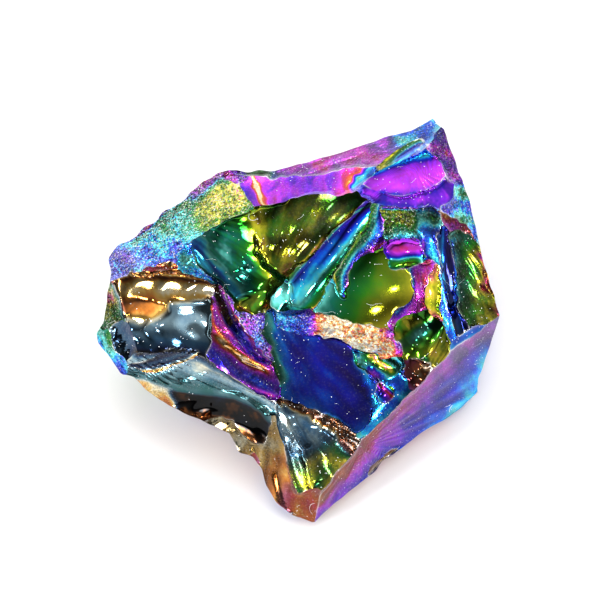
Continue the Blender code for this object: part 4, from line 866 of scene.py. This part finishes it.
# The ridge where no scar reaches, and the faces of the back in turn: film, steel and shade, then the
# changes. The back's points are laid flat for its mottles.
BARE_RIDGE = ((0.86, 0.3, 1.0), (0.0, 0.0, 0.0, 0.2, 0.5))
BACK_COATS = (
    ((0.22, 0.2, 0.75), (0.002, 0.003, 0.0, 0.04, 0.1)), ((0.36, 0.0, 0.8), (0.003, 0.0, 0.0, 0.03, 0.0)),
    ((0.68, 0.1, 0.7), (0.0, 0.004, 0.0, 0.04, 0.0)), ((0.2, 0.0, 0.8), (0.003, 0.0, 0.0, 0.04, 0.1)),
    ((0.55, 0.5, 0.8), (0.004, 0.004, 0.0, 0.04, 0.0)), ((0.3, 0.0, 0.8), (0.0, 0.006, 0.0, 0.04, 0.0)),
)
BACK_LAID_FLAT = np.array(((0.9, 0.1), (0.1, 0.9), (0.5, 0.4)))

# Scars whose coat is broken into darker patches of painted shade, standing in for dark things the
# film mirrors: how dark those are, and how they shift the film.
PAINTED_DARK_PATCHES = {
    "upper_green": 0.45, "top_flank": 0.3, "right_green": 0.5, "low_green": 0.4, "drum": 0.4,
    "brow": 0.5, "knot": 0.5, "long_flank": 0.15, "end_chip": 0.3, "apex_flank": 0.35,
    "lens_lip": 0.2, "violet_band": 0.15,
}
PATCH_SHIFT = 0.04

# Size of the mottles of colour and of shade, on the front and on the back, and of the fine ones.
FRONT_MOTTLES = (3.5, 5.0)
BACK_MOTTLES = (15.0, 12.0)
FINE_MOTTLES = 1.1
SHADE_MOTTLING = 0.2

# The vapour came from one side, so faces turned towards it took a thicker film. Hackles show as
# streaks of colour and of painted shade. The film changes within the rim's width of an arris, and
# stays between its thinnest and its thickest.
VAPOUR = np.array((0.55, 0.75, 0.35))
FACING_SHIFT = 0.12
FACING_LIMIT = 0.6
STREAK_SHIFT = 0.025
STREAK_TONE = 0.45
RIM_WIDTH = 0.7
NO_ARRIS = 9.0
THINNEST = -0.1
THICKEST = 1.3

# Colours of the film as it thickens, and of the thin, steely film.
FILM_RAMP = (
    (0.00, (252, 216, 180)), (0.025, (235, 170, 70)), (0.05, (220, 115, 40)), (0.10, (195, 65, 60)),
    (0.15, (205, 45, 140)), (0.20, (205, 55, 235)), (0.26, (140, 35, 230)), (0.32, (60, 20, 185)),
    (0.38, (8, 30, 200)), (0.44, (5, 110, 235)), (0.50, (45, 205, 250)), (0.55, (110, 220, 205)),
    (0.61, (0, 130, 110)), (0.67, (10, 135, 45)), (0.73, (60, 150, 10)), (0.79, (125, 150, 5)),
    (0.85, (230, 220, 50)), (0.90, (245, 165, 100)), (0.95, (235, 85, 150)), (1.00, (195, 50, 215)),
)
STEEL_RAMP = (
    (0.00, (30, 18, 12)), (0.12, (110, 60, 25)), (0.22, (190, 115, 40)), (0.32, (215, 175, 90)),
    (0.42, (230, 222, 190)), (0.55, (120, 145, 155)), (0.68, (52, 92, 122)), (0.82, (28, 48, 88)),
    (0.90, (14, 18, 30)), (0.95, (10, 9, 10)), (1.00, (135, 80, 30)),
)

# Noise sizes of the coat, per metre: its grain, its coloured flecks, its slow drift and its sparkle.
GRAIN_SCALE = 3000.0
FLECK_SCALE = 1900.0
DRIFT_SCALE = 260.0
SPARKLE_SCALE = 3600.0

# How far flecks and drift shift the film, and rows of from, to, low and high: the grain's painted
# glints, with painted shade in its pits, the whitened arrises, partly wear and partly a painted
# glint, and the grain's painted sparkle.
FLECK_SHIFT = 0.4
DRIFT_SHIFT = 0.04
GLINT = (0.38, 0.62, -0.75, 0.75)
ARRIS_WEAR_AND_GLINT = (0.46, 0.64, 0.0, 0.65)
ARRIS_WEAR_AND_GLINT_SHARPNESS = 4.0
SPARKLE = (0.60, 0.67, 0.0, 0.95)
PALE_SHARE = 0.06
PALE_COLOUR = (0.80, 0.84, 0.78, 1.0)
ARRIS_WEAR_AND_GLINT_COLOUR = (0.95, 0.92, 0.85, 1.0)
SPARKLE_COLOUR = (0.95, 0.93, 0.85, 1.0)

# Dust and hairs: sizes per metre, how big a speck is in its cell, how wide a hair is, and where
# there are any. Hairs don't show on the steely film.
DUST_SCALE = 1400.0
DUST_SIZE = 0.11
DUST_PLACES = (150.0, 0.48)
HAIR_SCALE = 190.0
HAIR_WIDTH = 0.0016
HAIR_PLACES = (330.0, 0.63)
STEELY = 0.5
DUST_COLOUR = (0.85, 0.87, 0.9, 1.0)

# Gloss: roughness of the film, what grain and drift add to it, and the depth of the grain in metres.
FILM_ROUGHNESS = 0.05
GRAIN_ROUGHNESS = 0.28
DRIFT_ROUGHNESS = 0.06
GRAIN_DEPTH = 0.00012
GRAIN_STRENGTH = 0.9


def linear(colour):
    """Return a screen colour, 0 to 255, as a linear one."""
    share = np.array(colour, float) / 255
    out = np.where(share <= 0.04045, share / 12.92, ((share + 0.055) / 1.055) ** 2.4)
    return (*out, 1.0)


def painted_dark_patches(p):
    """Return 1 in patches of painted shade at flat points and 0 outside, changing quickly."""
    bent = wander(p, 3.0, 0.5, seed=51) * (1.0, 0.6)
    return np.clip(3.0 * waves(bent, 2.6, seed=77, count=8), 0, 1)


def banded(flat, start, end, stops):
    """Return film, shade and steel for flat points between the two sides of a scar."""
    before = distance(flat, start)
    share = before / (before + distance(flat, end) + 1e-9)
    share = share + BAND_WANDER * waves(flat, 2.6, seed=81)
    shares, *columns = zip(*stops)
    return [np.interp(share, shares, column) for column in columns]


def coat_corners(stone, number, place, seen, facing):
    """Return film, steel, shade and grain for corners of faces on the numbered scars."""
    out = np.zeros((len(number), 4))
    for each in np.unique(number):
        at = np.where(number == each)[0]
        name = stone.relief.names[each] if 0 <= each < BACK else None
        flat = seen[at]
        middle = (0, 0)
        edge = np.full(len(at), NO_ARRIS)
        mottles = FRONT_MOTTLES
        if name:
            line = stone.relief.scars[each][1]
            middle = line.mean(0)
            edge = np.abs(outside(flat, line))
            changes = CHANGES[name]
            if name in BANDS:
                film, shade, steel = banded(flat, *BANDS[name])
            else:
                film, steel, shade = PLAIN[name]
        elif each < 0:
            (film, steel, shade), changes = BARE_RIDGE
        else:
            (film, steel, shade), changes = BACK_COATS[(each - BACK) % len(BACK_COATS)]
            flat = place[at] @ BACK_LAID_FLAT
            middle = flat.mean(0)
            mottles = BACK_MOTTLES
        right, up, arris, mottle, grain = changes
        film = film + (flat - middle) @ (right, up)
        film = film + arris * np.exp(-edge / RIM_WIDTH)
        blotches = waves(flat, mottles[0], seed=61) + 0.4 * waves(flat, FINE_MOTTLES, seed=65)
        film = film + mottle * blotches
        turned = (facing[at] - facing[at].mean(0)) @ VAPOUR
        film = film + FACING_SHIFT * np.clip(turned, -FACING_LIMIT, FACING_LIMIT)
        tone = 1 + SHADE_MOTTLING * waves(flat, mottles[1], seed=71)
        if name in HACKLES:
            streaks = rays(flat, name)
            film = film + STREAK_SHIFT * streaks
            tone = tone * (1 + STREAK_TONE * streaks)
        # Patches of painted shade, which also thicken the film a little.
        if name in PAINTED_DARK_PATCHES:
            dark = painted_dark_patches(flat)
            tone = tone * (1 - PAINTED_DARK_PATCHES[name] * dark)
            film = film + PATCH_SHIFT * dark
        out[at, 0] = film
        out[at, 1] = steel
        out[at, 2] = shade * tone
        out[at, 3] = grain
    return np.clip(out, (THINNEST, 0, 0, 0), THICKEST)


def nearness(place, edges, chosen, width):
    """Return how near each vertex is to the chosen edges, 1 on them and fading over the width."""
    gap = np.full(len(place), NO_ARRIS)
    gap[edges[chosen]] = 0
    length = np.linalg.norm(place[edges[:, 0]] - place[edges[:, 1]], axis=1)
    for _ in range(6):
        for start, end in (edges.T, edges.T[::-1]):
            np.minimum.at(gap, end, gap[start] + length)
    return np.exp(-gap / width)


def relax(values, edges, share, rounds):
    """Draw each vertex's values towards its neighbours' mean, by its share."""
    count = np.bincount(edges.ravel(), minlength=len(values))[:, None]
    for _ in range(rounds):
        total = np.zeros_like(values)
        for column in range(values.shape[1]):
            ends = np.r_[values[edges[:, 1], column], values[edges[:, 0], column]]
            total[:, column] = np.bincount(np.r_[edges[:, 0], edges[:, 1]], ends, len(values))
        values = values + share[:, None] * (total / count - values)
    return values


def coat_material():
    """Make the metal film: its colours and painted light, its frosted grain and the dust on it."""
    material = bpy.data.materials.new("rainbow_coat")
    material.use_nodes = True
    nodes = material.node_tree.nodes
    link = material.node_tree.links.new
    nodes.clear()

    def node(kind, **values):
        made = nodes.new(kind)
        for name, value in values.items():
            setattr(made, name, value)
        return made

    def maths(operation, first, second):
        made = node("ShaderNodeMath", operation=operation)
        for socket, value in zip(made.inputs, (first, second)):
            if isinstance(value, (int, float)):
                socket.default_value = value
            else:
                link(value, socket)
        return made.outputs[0]

    def ramp(factor, stops):
        made = node("ShaderNodeValToRGB")
        elements = made.color_ramp.elements
        while len(elements) > 1:
            elements.remove(elements[-1])
        elements[0].position = stops[0][0]
        elements[0].color = linear(stops[0][1])
        for position, colour in stops[1:]:
            elements.new(position).color = linear(colour)
        link(factor, made.inputs[0])
        return made.outputs[0]

    def noise(scale, detail, roughness=0.6):
        made = node("ShaderNodeTexNoise")
        made.inputs["Scale"].default_value = scale
        made.inputs["Detail"].default_value = detail
        made.inputs["Roughness"].default_value = roughness
        link(place, made.inputs["Vector"])
        return made.outputs["Fac"]

    def mix(factor, first, second, blend="MIX"):
        made = node("ShaderNodeMix", data_type="RGBA", blend_type=blend)
        for socket, value in ((made.inputs[0], factor), (made.inputs[6], first), (made.inputs[7], second)):
            if isinstance(value, (int, float, tuple)):
                socket.default_value = value
            else:
                link(value, socket)
        return made.outputs[2]

    def step(value, low, high, start, end):
        made = node("ShaderNodeMapRange", interpolation_type="SMOOTHSTEP")
        for socket, number in zip(made.inputs[1:5], (low, high, start, end)):
            socket.default_value = number
        link(value, made.inputs[0])
        return made.outputs[0]

    place = node("ShaderNodeTexCoord").outputs["Object"]
    film, steel, shade, grain, arris = (
        node("ShaderNodeAttribute", attribute_name=name).outputs["Fac"]
        for name in ("film", "steel", "shade", "grain", "arris")
    )

    fine = noise(GRAIN_SCALE, 2.0)
    broad = noise(DRIFT_SCALE, 2.0)
    fleck = noise(FLECK_SCALE, 2.0)
    speckle = maths("MULTIPLY", maths("SUBTRACT", fleck, 0.5), maths("MULTIPLY", grain, FLECK_SHIFT))
    drift = maths("MULTIPLY", maths("SUBTRACT", broad, 0.5), DRIFT_SHIFT)
    thin = maths("POWER", arris, ARRIS_WEAR_AND_GLINT_SHARPNESS)
    arris_wear_and_painted_glint = maths("MULTIPLY", thin, step(broad, *ARRIS_WEAR_AND_GLINT))
    shifted = maths("ADD", maths("ADD", film, speckle), drift)
    colour = mix(steel, ramp(shifted, FILM_RAMP), ramp(shifted, STEEL_RAMP))
    # Shade, with its painted shade and highlights, and painted grain glints scale the colour.
    shade_colour = node("ShaderNodeCombineColor")
    # Painted glints on the grain, with painted shade in the pits between the grains.
    glint = maths("MULTIPLY", step(fine, *GLINT), grain)
    value = maths("ADD", shade, glint)
    for socket in shade_colour.inputs[:3]:
        link(value, socket)
    colour = mix(maths("MULTIPLY", grain, PALE_SHARE), colour, PALE_COLOUR)
    colour = mix(1.0, colour, shade_colour.outputs[0], "MULTIPLY")
    # Whitened arrises: partly their wear, partly a painted glint along them.
    colour = mix(arris_wear_and_painted_glint, colour, ARRIS_WEAR_AND_GLINT_COLOUR)
    # Painted sparkle: tiny bright dots on the grain that stand in for its highlights.
    sparkle = maths("MULTIPLY", step(noise(SPARKLE_SCALE, 1.0), *SPARKLE), grain)
    colour = mix(sparkle, colour, SPARKLE_COLOUR)

    dust_cells = node("ShaderNodeTexVoronoi")
    dust_cells.inputs["Scale"].default_value = DUST_SCALE
    link(place, dust_cells.inputs["Vector"])
    dust_spot = maths("LESS_THAN", dust_cells.outputs["Distance"], DUST_SIZE)
    scale, least = DUST_PLACES
    dust = maths("MULTIPLY", dust_spot, maths("GREATER_THAN", noise(scale, 1.0), least))
    curl = maths("ABSOLUTE", maths("SUBTRACT", noise(HAIR_SCALE, 0.5), 0.5), 0.0)
    scale, least = HAIR_PLACES
    hair_places = maths("GREATER_THAN", noise(scale, 1.0), least)
    hair = maths("MULTIPLY", maths("LESS_THAN", curl, HAIR_WIDTH), hair_places)
    dust = maths("MAXIMUM", dust, maths("MULTIPLY", hair, maths("LESS_THAN", steel, STEELY)))
    colour = mix(dust, colour, DUST_COLOUR)

    shader = node("ShaderNodeBsdfPrincipled")
    link(colour, shader.inputs["Base Color"])
    link(maths("SUBTRACT", 1.0, dust), shader.inputs["Metallic"])
    grained = maths("MULTIPLY", grain, GRAIN_ROUGHNESS)
    rough = maths("ADD", grained, maths("MULTIPLY", broad, DRIFT_ROUGHNESS))
    link(maths("ADD", rough, FILM_ROUGHNESS), shader.inputs["Roughness"])
    shader.inputs["Coat Weight"].default_value = 0.4
    shader.inputs["Coat Roughness"].default_value = 0.04
    bump = node("ShaderNodeBump")
    bump.inputs["Distance"].default_value = GRAIN_DEPTH
    link(maths("ADD", maths("MULTIPLY", grain, GRAIN_STRENGTH), 0.05), bump.inputs["Strength"])
    link(fine, bump.inputs["Height"])
    link(bump.outputs["Normal"], shader.inputs["Normal"])
    output = node("ShaderNodeOutputMaterial")
    link(shader.outputs["BSDF"], output.inputs["Surface"])
    return material


# Cuts along each edge of the cube, how wide the whitened arrises are (partly wear, partly a
# painted glint), and the number that stands for a face not met yet.
GRID_CUTS = 127
ARRIS_WIDTH = 0.3
NO_FACE = -5


def build_stone():
    """Move a subdivided cube onto the stone's surface and coat it."""
    bm = bmesh.new()
    bmesh.ops.create_cube(bm, size=2.0)
    bmesh.ops.subdivide_edges(bm, edges=bm.edges[:], cuts=GRID_CUTS, use_grid_fill=True)
    bmesh.ops.triangulate(bm, faces=bm.faces[:])
    mesh = bpy.data.meshes.new("broken_stone")
    bm.to_mesh(mesh)
    bm.free()

    cube = np.empty(len(mesh.vertices) * 3)
    mesh.vertices.foreach_get("co", cube)
    q = unit(np.tan(cube.reshape(-1, 3) * math.pi / 4))
    edges = np.empty(len(mesh.edges) * 2, int)
    mesh.edges.foreach_get("vertices", edges)
    edges = edges.reshape(-1, 2)
    corners = np.empty(len(mesh.loops), int)
    mesh.loops.foreach_get("vertex_index", corners)
    corners = corners.reshape(-1, 3)

    stone = Stone()
    for _ in range(SNAP_ROUNDS):
        q = draw_to_arrises(stone, q, edges)
    place, _, seen = stone.place(q)
    face_number = stone.place(unit(q[corners].mean(1)))[1]

    group = np.arange(len(stone.relief.names))
    for names in ROUNDED:
        for name in names[1:]:
            group[stone.relief.names.index(name)] = group[stone.relief.names.index(names[0])]
    first = np.full(len(mesh.edges), NO_FACE)
    sharp = np.zeros(len(mesh.edges), bool)
    rounded = np.zeros(len(mesh.edges), bool)
    loop_edges = np.empty(len(mesh.loops), int)
    mesh.loops.foreach_get("edge_index", loop_edges)
    for edge, number in zip(loop_edges, np.repeat(face_number, 3)):
        if first[edge] == NO_FACE:
            first[edge] = number
        elif first[edge] != number:
            pair = np.array((first[edge], number))
            same = pair.min() >= 0 and pair.max() < BACK and group[pair[0]] == group[pair[1]]
            rounded[edge] = same
            sharp[edge] = not same
    crisp = nearness(place, edges, sharp, ARRIS_WIDTH)
    blunt = nearness(place, edges, rounded, ROUNDED_REACH)
    place = relax(place, edges, blunt * (1 - crisp) ** 2, ROUNDED_ROUNDS)
    mesh.vertices.foreach_set("co", to_world(place).ravel())
    mesh.polygons.foreach_set("use_smooth", np.ones(len(mesh.polygons), bool))
    layer = mesh.attributes.new("sharp_edge", "BOOLEAN", "EDGE")
    layer.data.foreach_set("value", sharp)
    layer = mesh.attributes.new("arris", "FLOAT", "POINT")
    layer.data.foreach_set("value", crisp)
    mesh.update()
    facing = np.empty(len(mesh.loops) * 3)
    mesh.corner_normals.foreach_get("vector", facing)
    facing = facing.reshape(-1, 3)

    corner_number = np.repeat(face_number, 3)
    corner_place = place[corners].reshape(-1, 3)
    corner_seen = seen[corners].reshape(-1, 2)
    looks = coat_corners(stone, corner_number, corner_place, corner_seen, facing)
    corner_vertex = corners.ravel()
    uses = np.bincount(corner_vertex, minlength=len(place))
    mean = np.stack([np.bincount(corner_vertex, row, len(place)) / uses for row in looks.T], 1)
    mean = relax(mean, edges, blunt, ROUNDED_ROUNDS)
    share = (blunt * (1 - crisp))[corner_vertex, None]
    looks = looks + share * (mean[corner_vertex] - looks)
    for column, name in enumerate(("film", "steel", "shade", "grain")):
        layer = mesh.attributes.new(name, "FLOAT", "CORNER")
        layer.data.foreach_set("value", looks[:, column])

    mesh.materials.append(coat_material())
    mesh.update()
    return bpy.data.objects.new("broken_stone", mesh)


stone_piece = build_stone()
bpy.context.scene.collection.objects.link(stone_piece)
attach(stone_piece, "root")
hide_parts("obsidian_chunk")

# Floor
# A sheet of matt, pale card that the stone lies on. It is one flat square, wide enough to fill the
# view, with no colour of its own.

FLOOR_HALF_SIDE = 1.6

floor_bm = bmesh.new()
bmesh.ops.create_grid(floor_bm, x_segments=1, y_segments=1, size=FLOOR_HALF_SIDE)
floor_mesh = bpy.data.meshes.new("floor")
floor_bm.to_mesh(floor_mesh)
floor_bm.free()
floor_material = bpy.data.materials.new("pale_floor")
floor_material.use_nodes = True
floor_shader = floor_material.node_tree.nodes["Principled BSDF"]
floor_shader.inputs["Base Color"].default_value = (0.86, 0.86, 0.86, 1.0)
floor_shader.inputs["Roughness"].default_value = 0.9
floor_mesh.materials.append(floor_material)
floor = bpy.data.objects.new("floor", floor_mesh)
bpy.context.scene.collection.objects.link(floor)

# Light
# A dim room with broad, soft glows and a few small, bright lamps around the stone, so that its
# mirror-like scars run from dark to bright. A broad light over it keeps the floor pale.

# Turn around the stone, height and half width in degrees, and brightness. The narrow, bright ones
# are the lamps that the arrises and ripples mirror.
GLOWS = (
    (95.0, 45.0, 60.0, 0.7), (90.0, 8.0, 55.0, 0.6), (188.0, 52.0, 30.0, 0.3), (250.0, 34.0, 34.0, 0.8),
    (302.0, 54.0, 36.0, 0.6), (345.0, 28.0, 36.0, 0.75), (20.0, 12.0, 40.0, 0.45),
    (214.0, 33.0, 18.0, 1.3), (182.0, 60.0, 5.0, 45.0), (203.0, 30.0, 4.5, 40.0),
    (256.0, 73.0, 3.4, 50.0), (345.0, 30.0, 5.5, 35.0), (230.0, 24.0, 4.0, 35.0),
    (239.0, 11.0, 7.0, 30.0), (305.0, 8.0, 26.0, 0.6), (249.0, 50.0, 2.6, 50.0), (124.0, 6.0, 26.0, 1.0),
    (97.0, 28.0, 10.0, 3.0),
)

# Glow of the room itself, and the place that the broad light hangs over.
ROOM = 0.07
TARGET = (0.0, 0.0, 20.0 * MM)

# Turn and height in degrees, distance and side in metres, and brightness of the broad light.
FLOOR_LIGHT = (80.0, 70.0, 1.20, 1.00, 2.8)


def bearing(turn, height):
    """Return the direction at a turn and height in degrees."""
    turn = math.radians(turn)
    height = math.radians(height)
    return math.cos(height) * math.cos(turn), math.cos(height) * math.sin(turn), math.sin(height)


def glowing_room():
    """Make the room: dim, with a soft glow at each of its bright places."""
    world = bpy.data.worlds.new("room")
    world.use_nodes = True
    nodes = world.node_tree.nodes
    link = world.node_tree.links.new
    way = nodes.new("ShaderNodeTexCoord").outputs["Generated"]
    total = None
    for turn, height, half_width, brightness in GLOWS:
        towards = nodes.new("ShaderNodeVectorMath")
        towards.operation = "DOT_PRODUCT"
        link(way, towards.inputs[0])
        towards.inputs[1].default_value = bearing(turn, height)
        glow = nodes.new("ShaderNodeMapRange")
        glow.interpolation_type = "SMOOTHSTEP"
        glow.inputs["From Min"].default_value = math.cos(math.radians(half_width))
        glow.inputs["To Max"].default_value = brightness
        link(towards.outputs["Value"], glow.inputs["Value"])
        both = nodes.new("ShaderNodeMath")
        both.inputs[1].default_value = ROOM
        link(glow.outputs["Result"], both.inputs[0])
        if total:
            link(total, both.inputs[1])
        total = both.outputs[0]
    nodes["Background"].inputs["Color"].default_value = (1.0, 1.0, 1.0, 1.0)
    link(total, nodes["Background"].inputs["Strength"])
    return world


def floor_light(turn, height, distance, side, radiance):
    """Hang a broad light that the stone doesn't mirror."""
    light = bpy.data.lights.new("floor_light", "AREA")
    light.shape = "SQUARE"
    light.size = side
    light.energy = radiance * math.pi * side * side
    lamp = bpy.data.objects.new("floor_light", light)
    lamp.location = [start + distance * part for start, part in zip(TARGET, bearing(turn, height))]
    lamp.rotation_euler = (math.pi / 2 - math.radians(height), 0.0, math.radians(turn) + math.pi / 2)
    lamp.visible_glossy = False
    bpy.context.scene.collection.objects.link(lamp)


bpy.context.scene.world = glowing_room()
floor_light(*FLOOR_LIGHT)

bpy.context.scene.view_settings.view_transform = "Standard"
bpy.context.scene.view_settings.gamma = 0.94
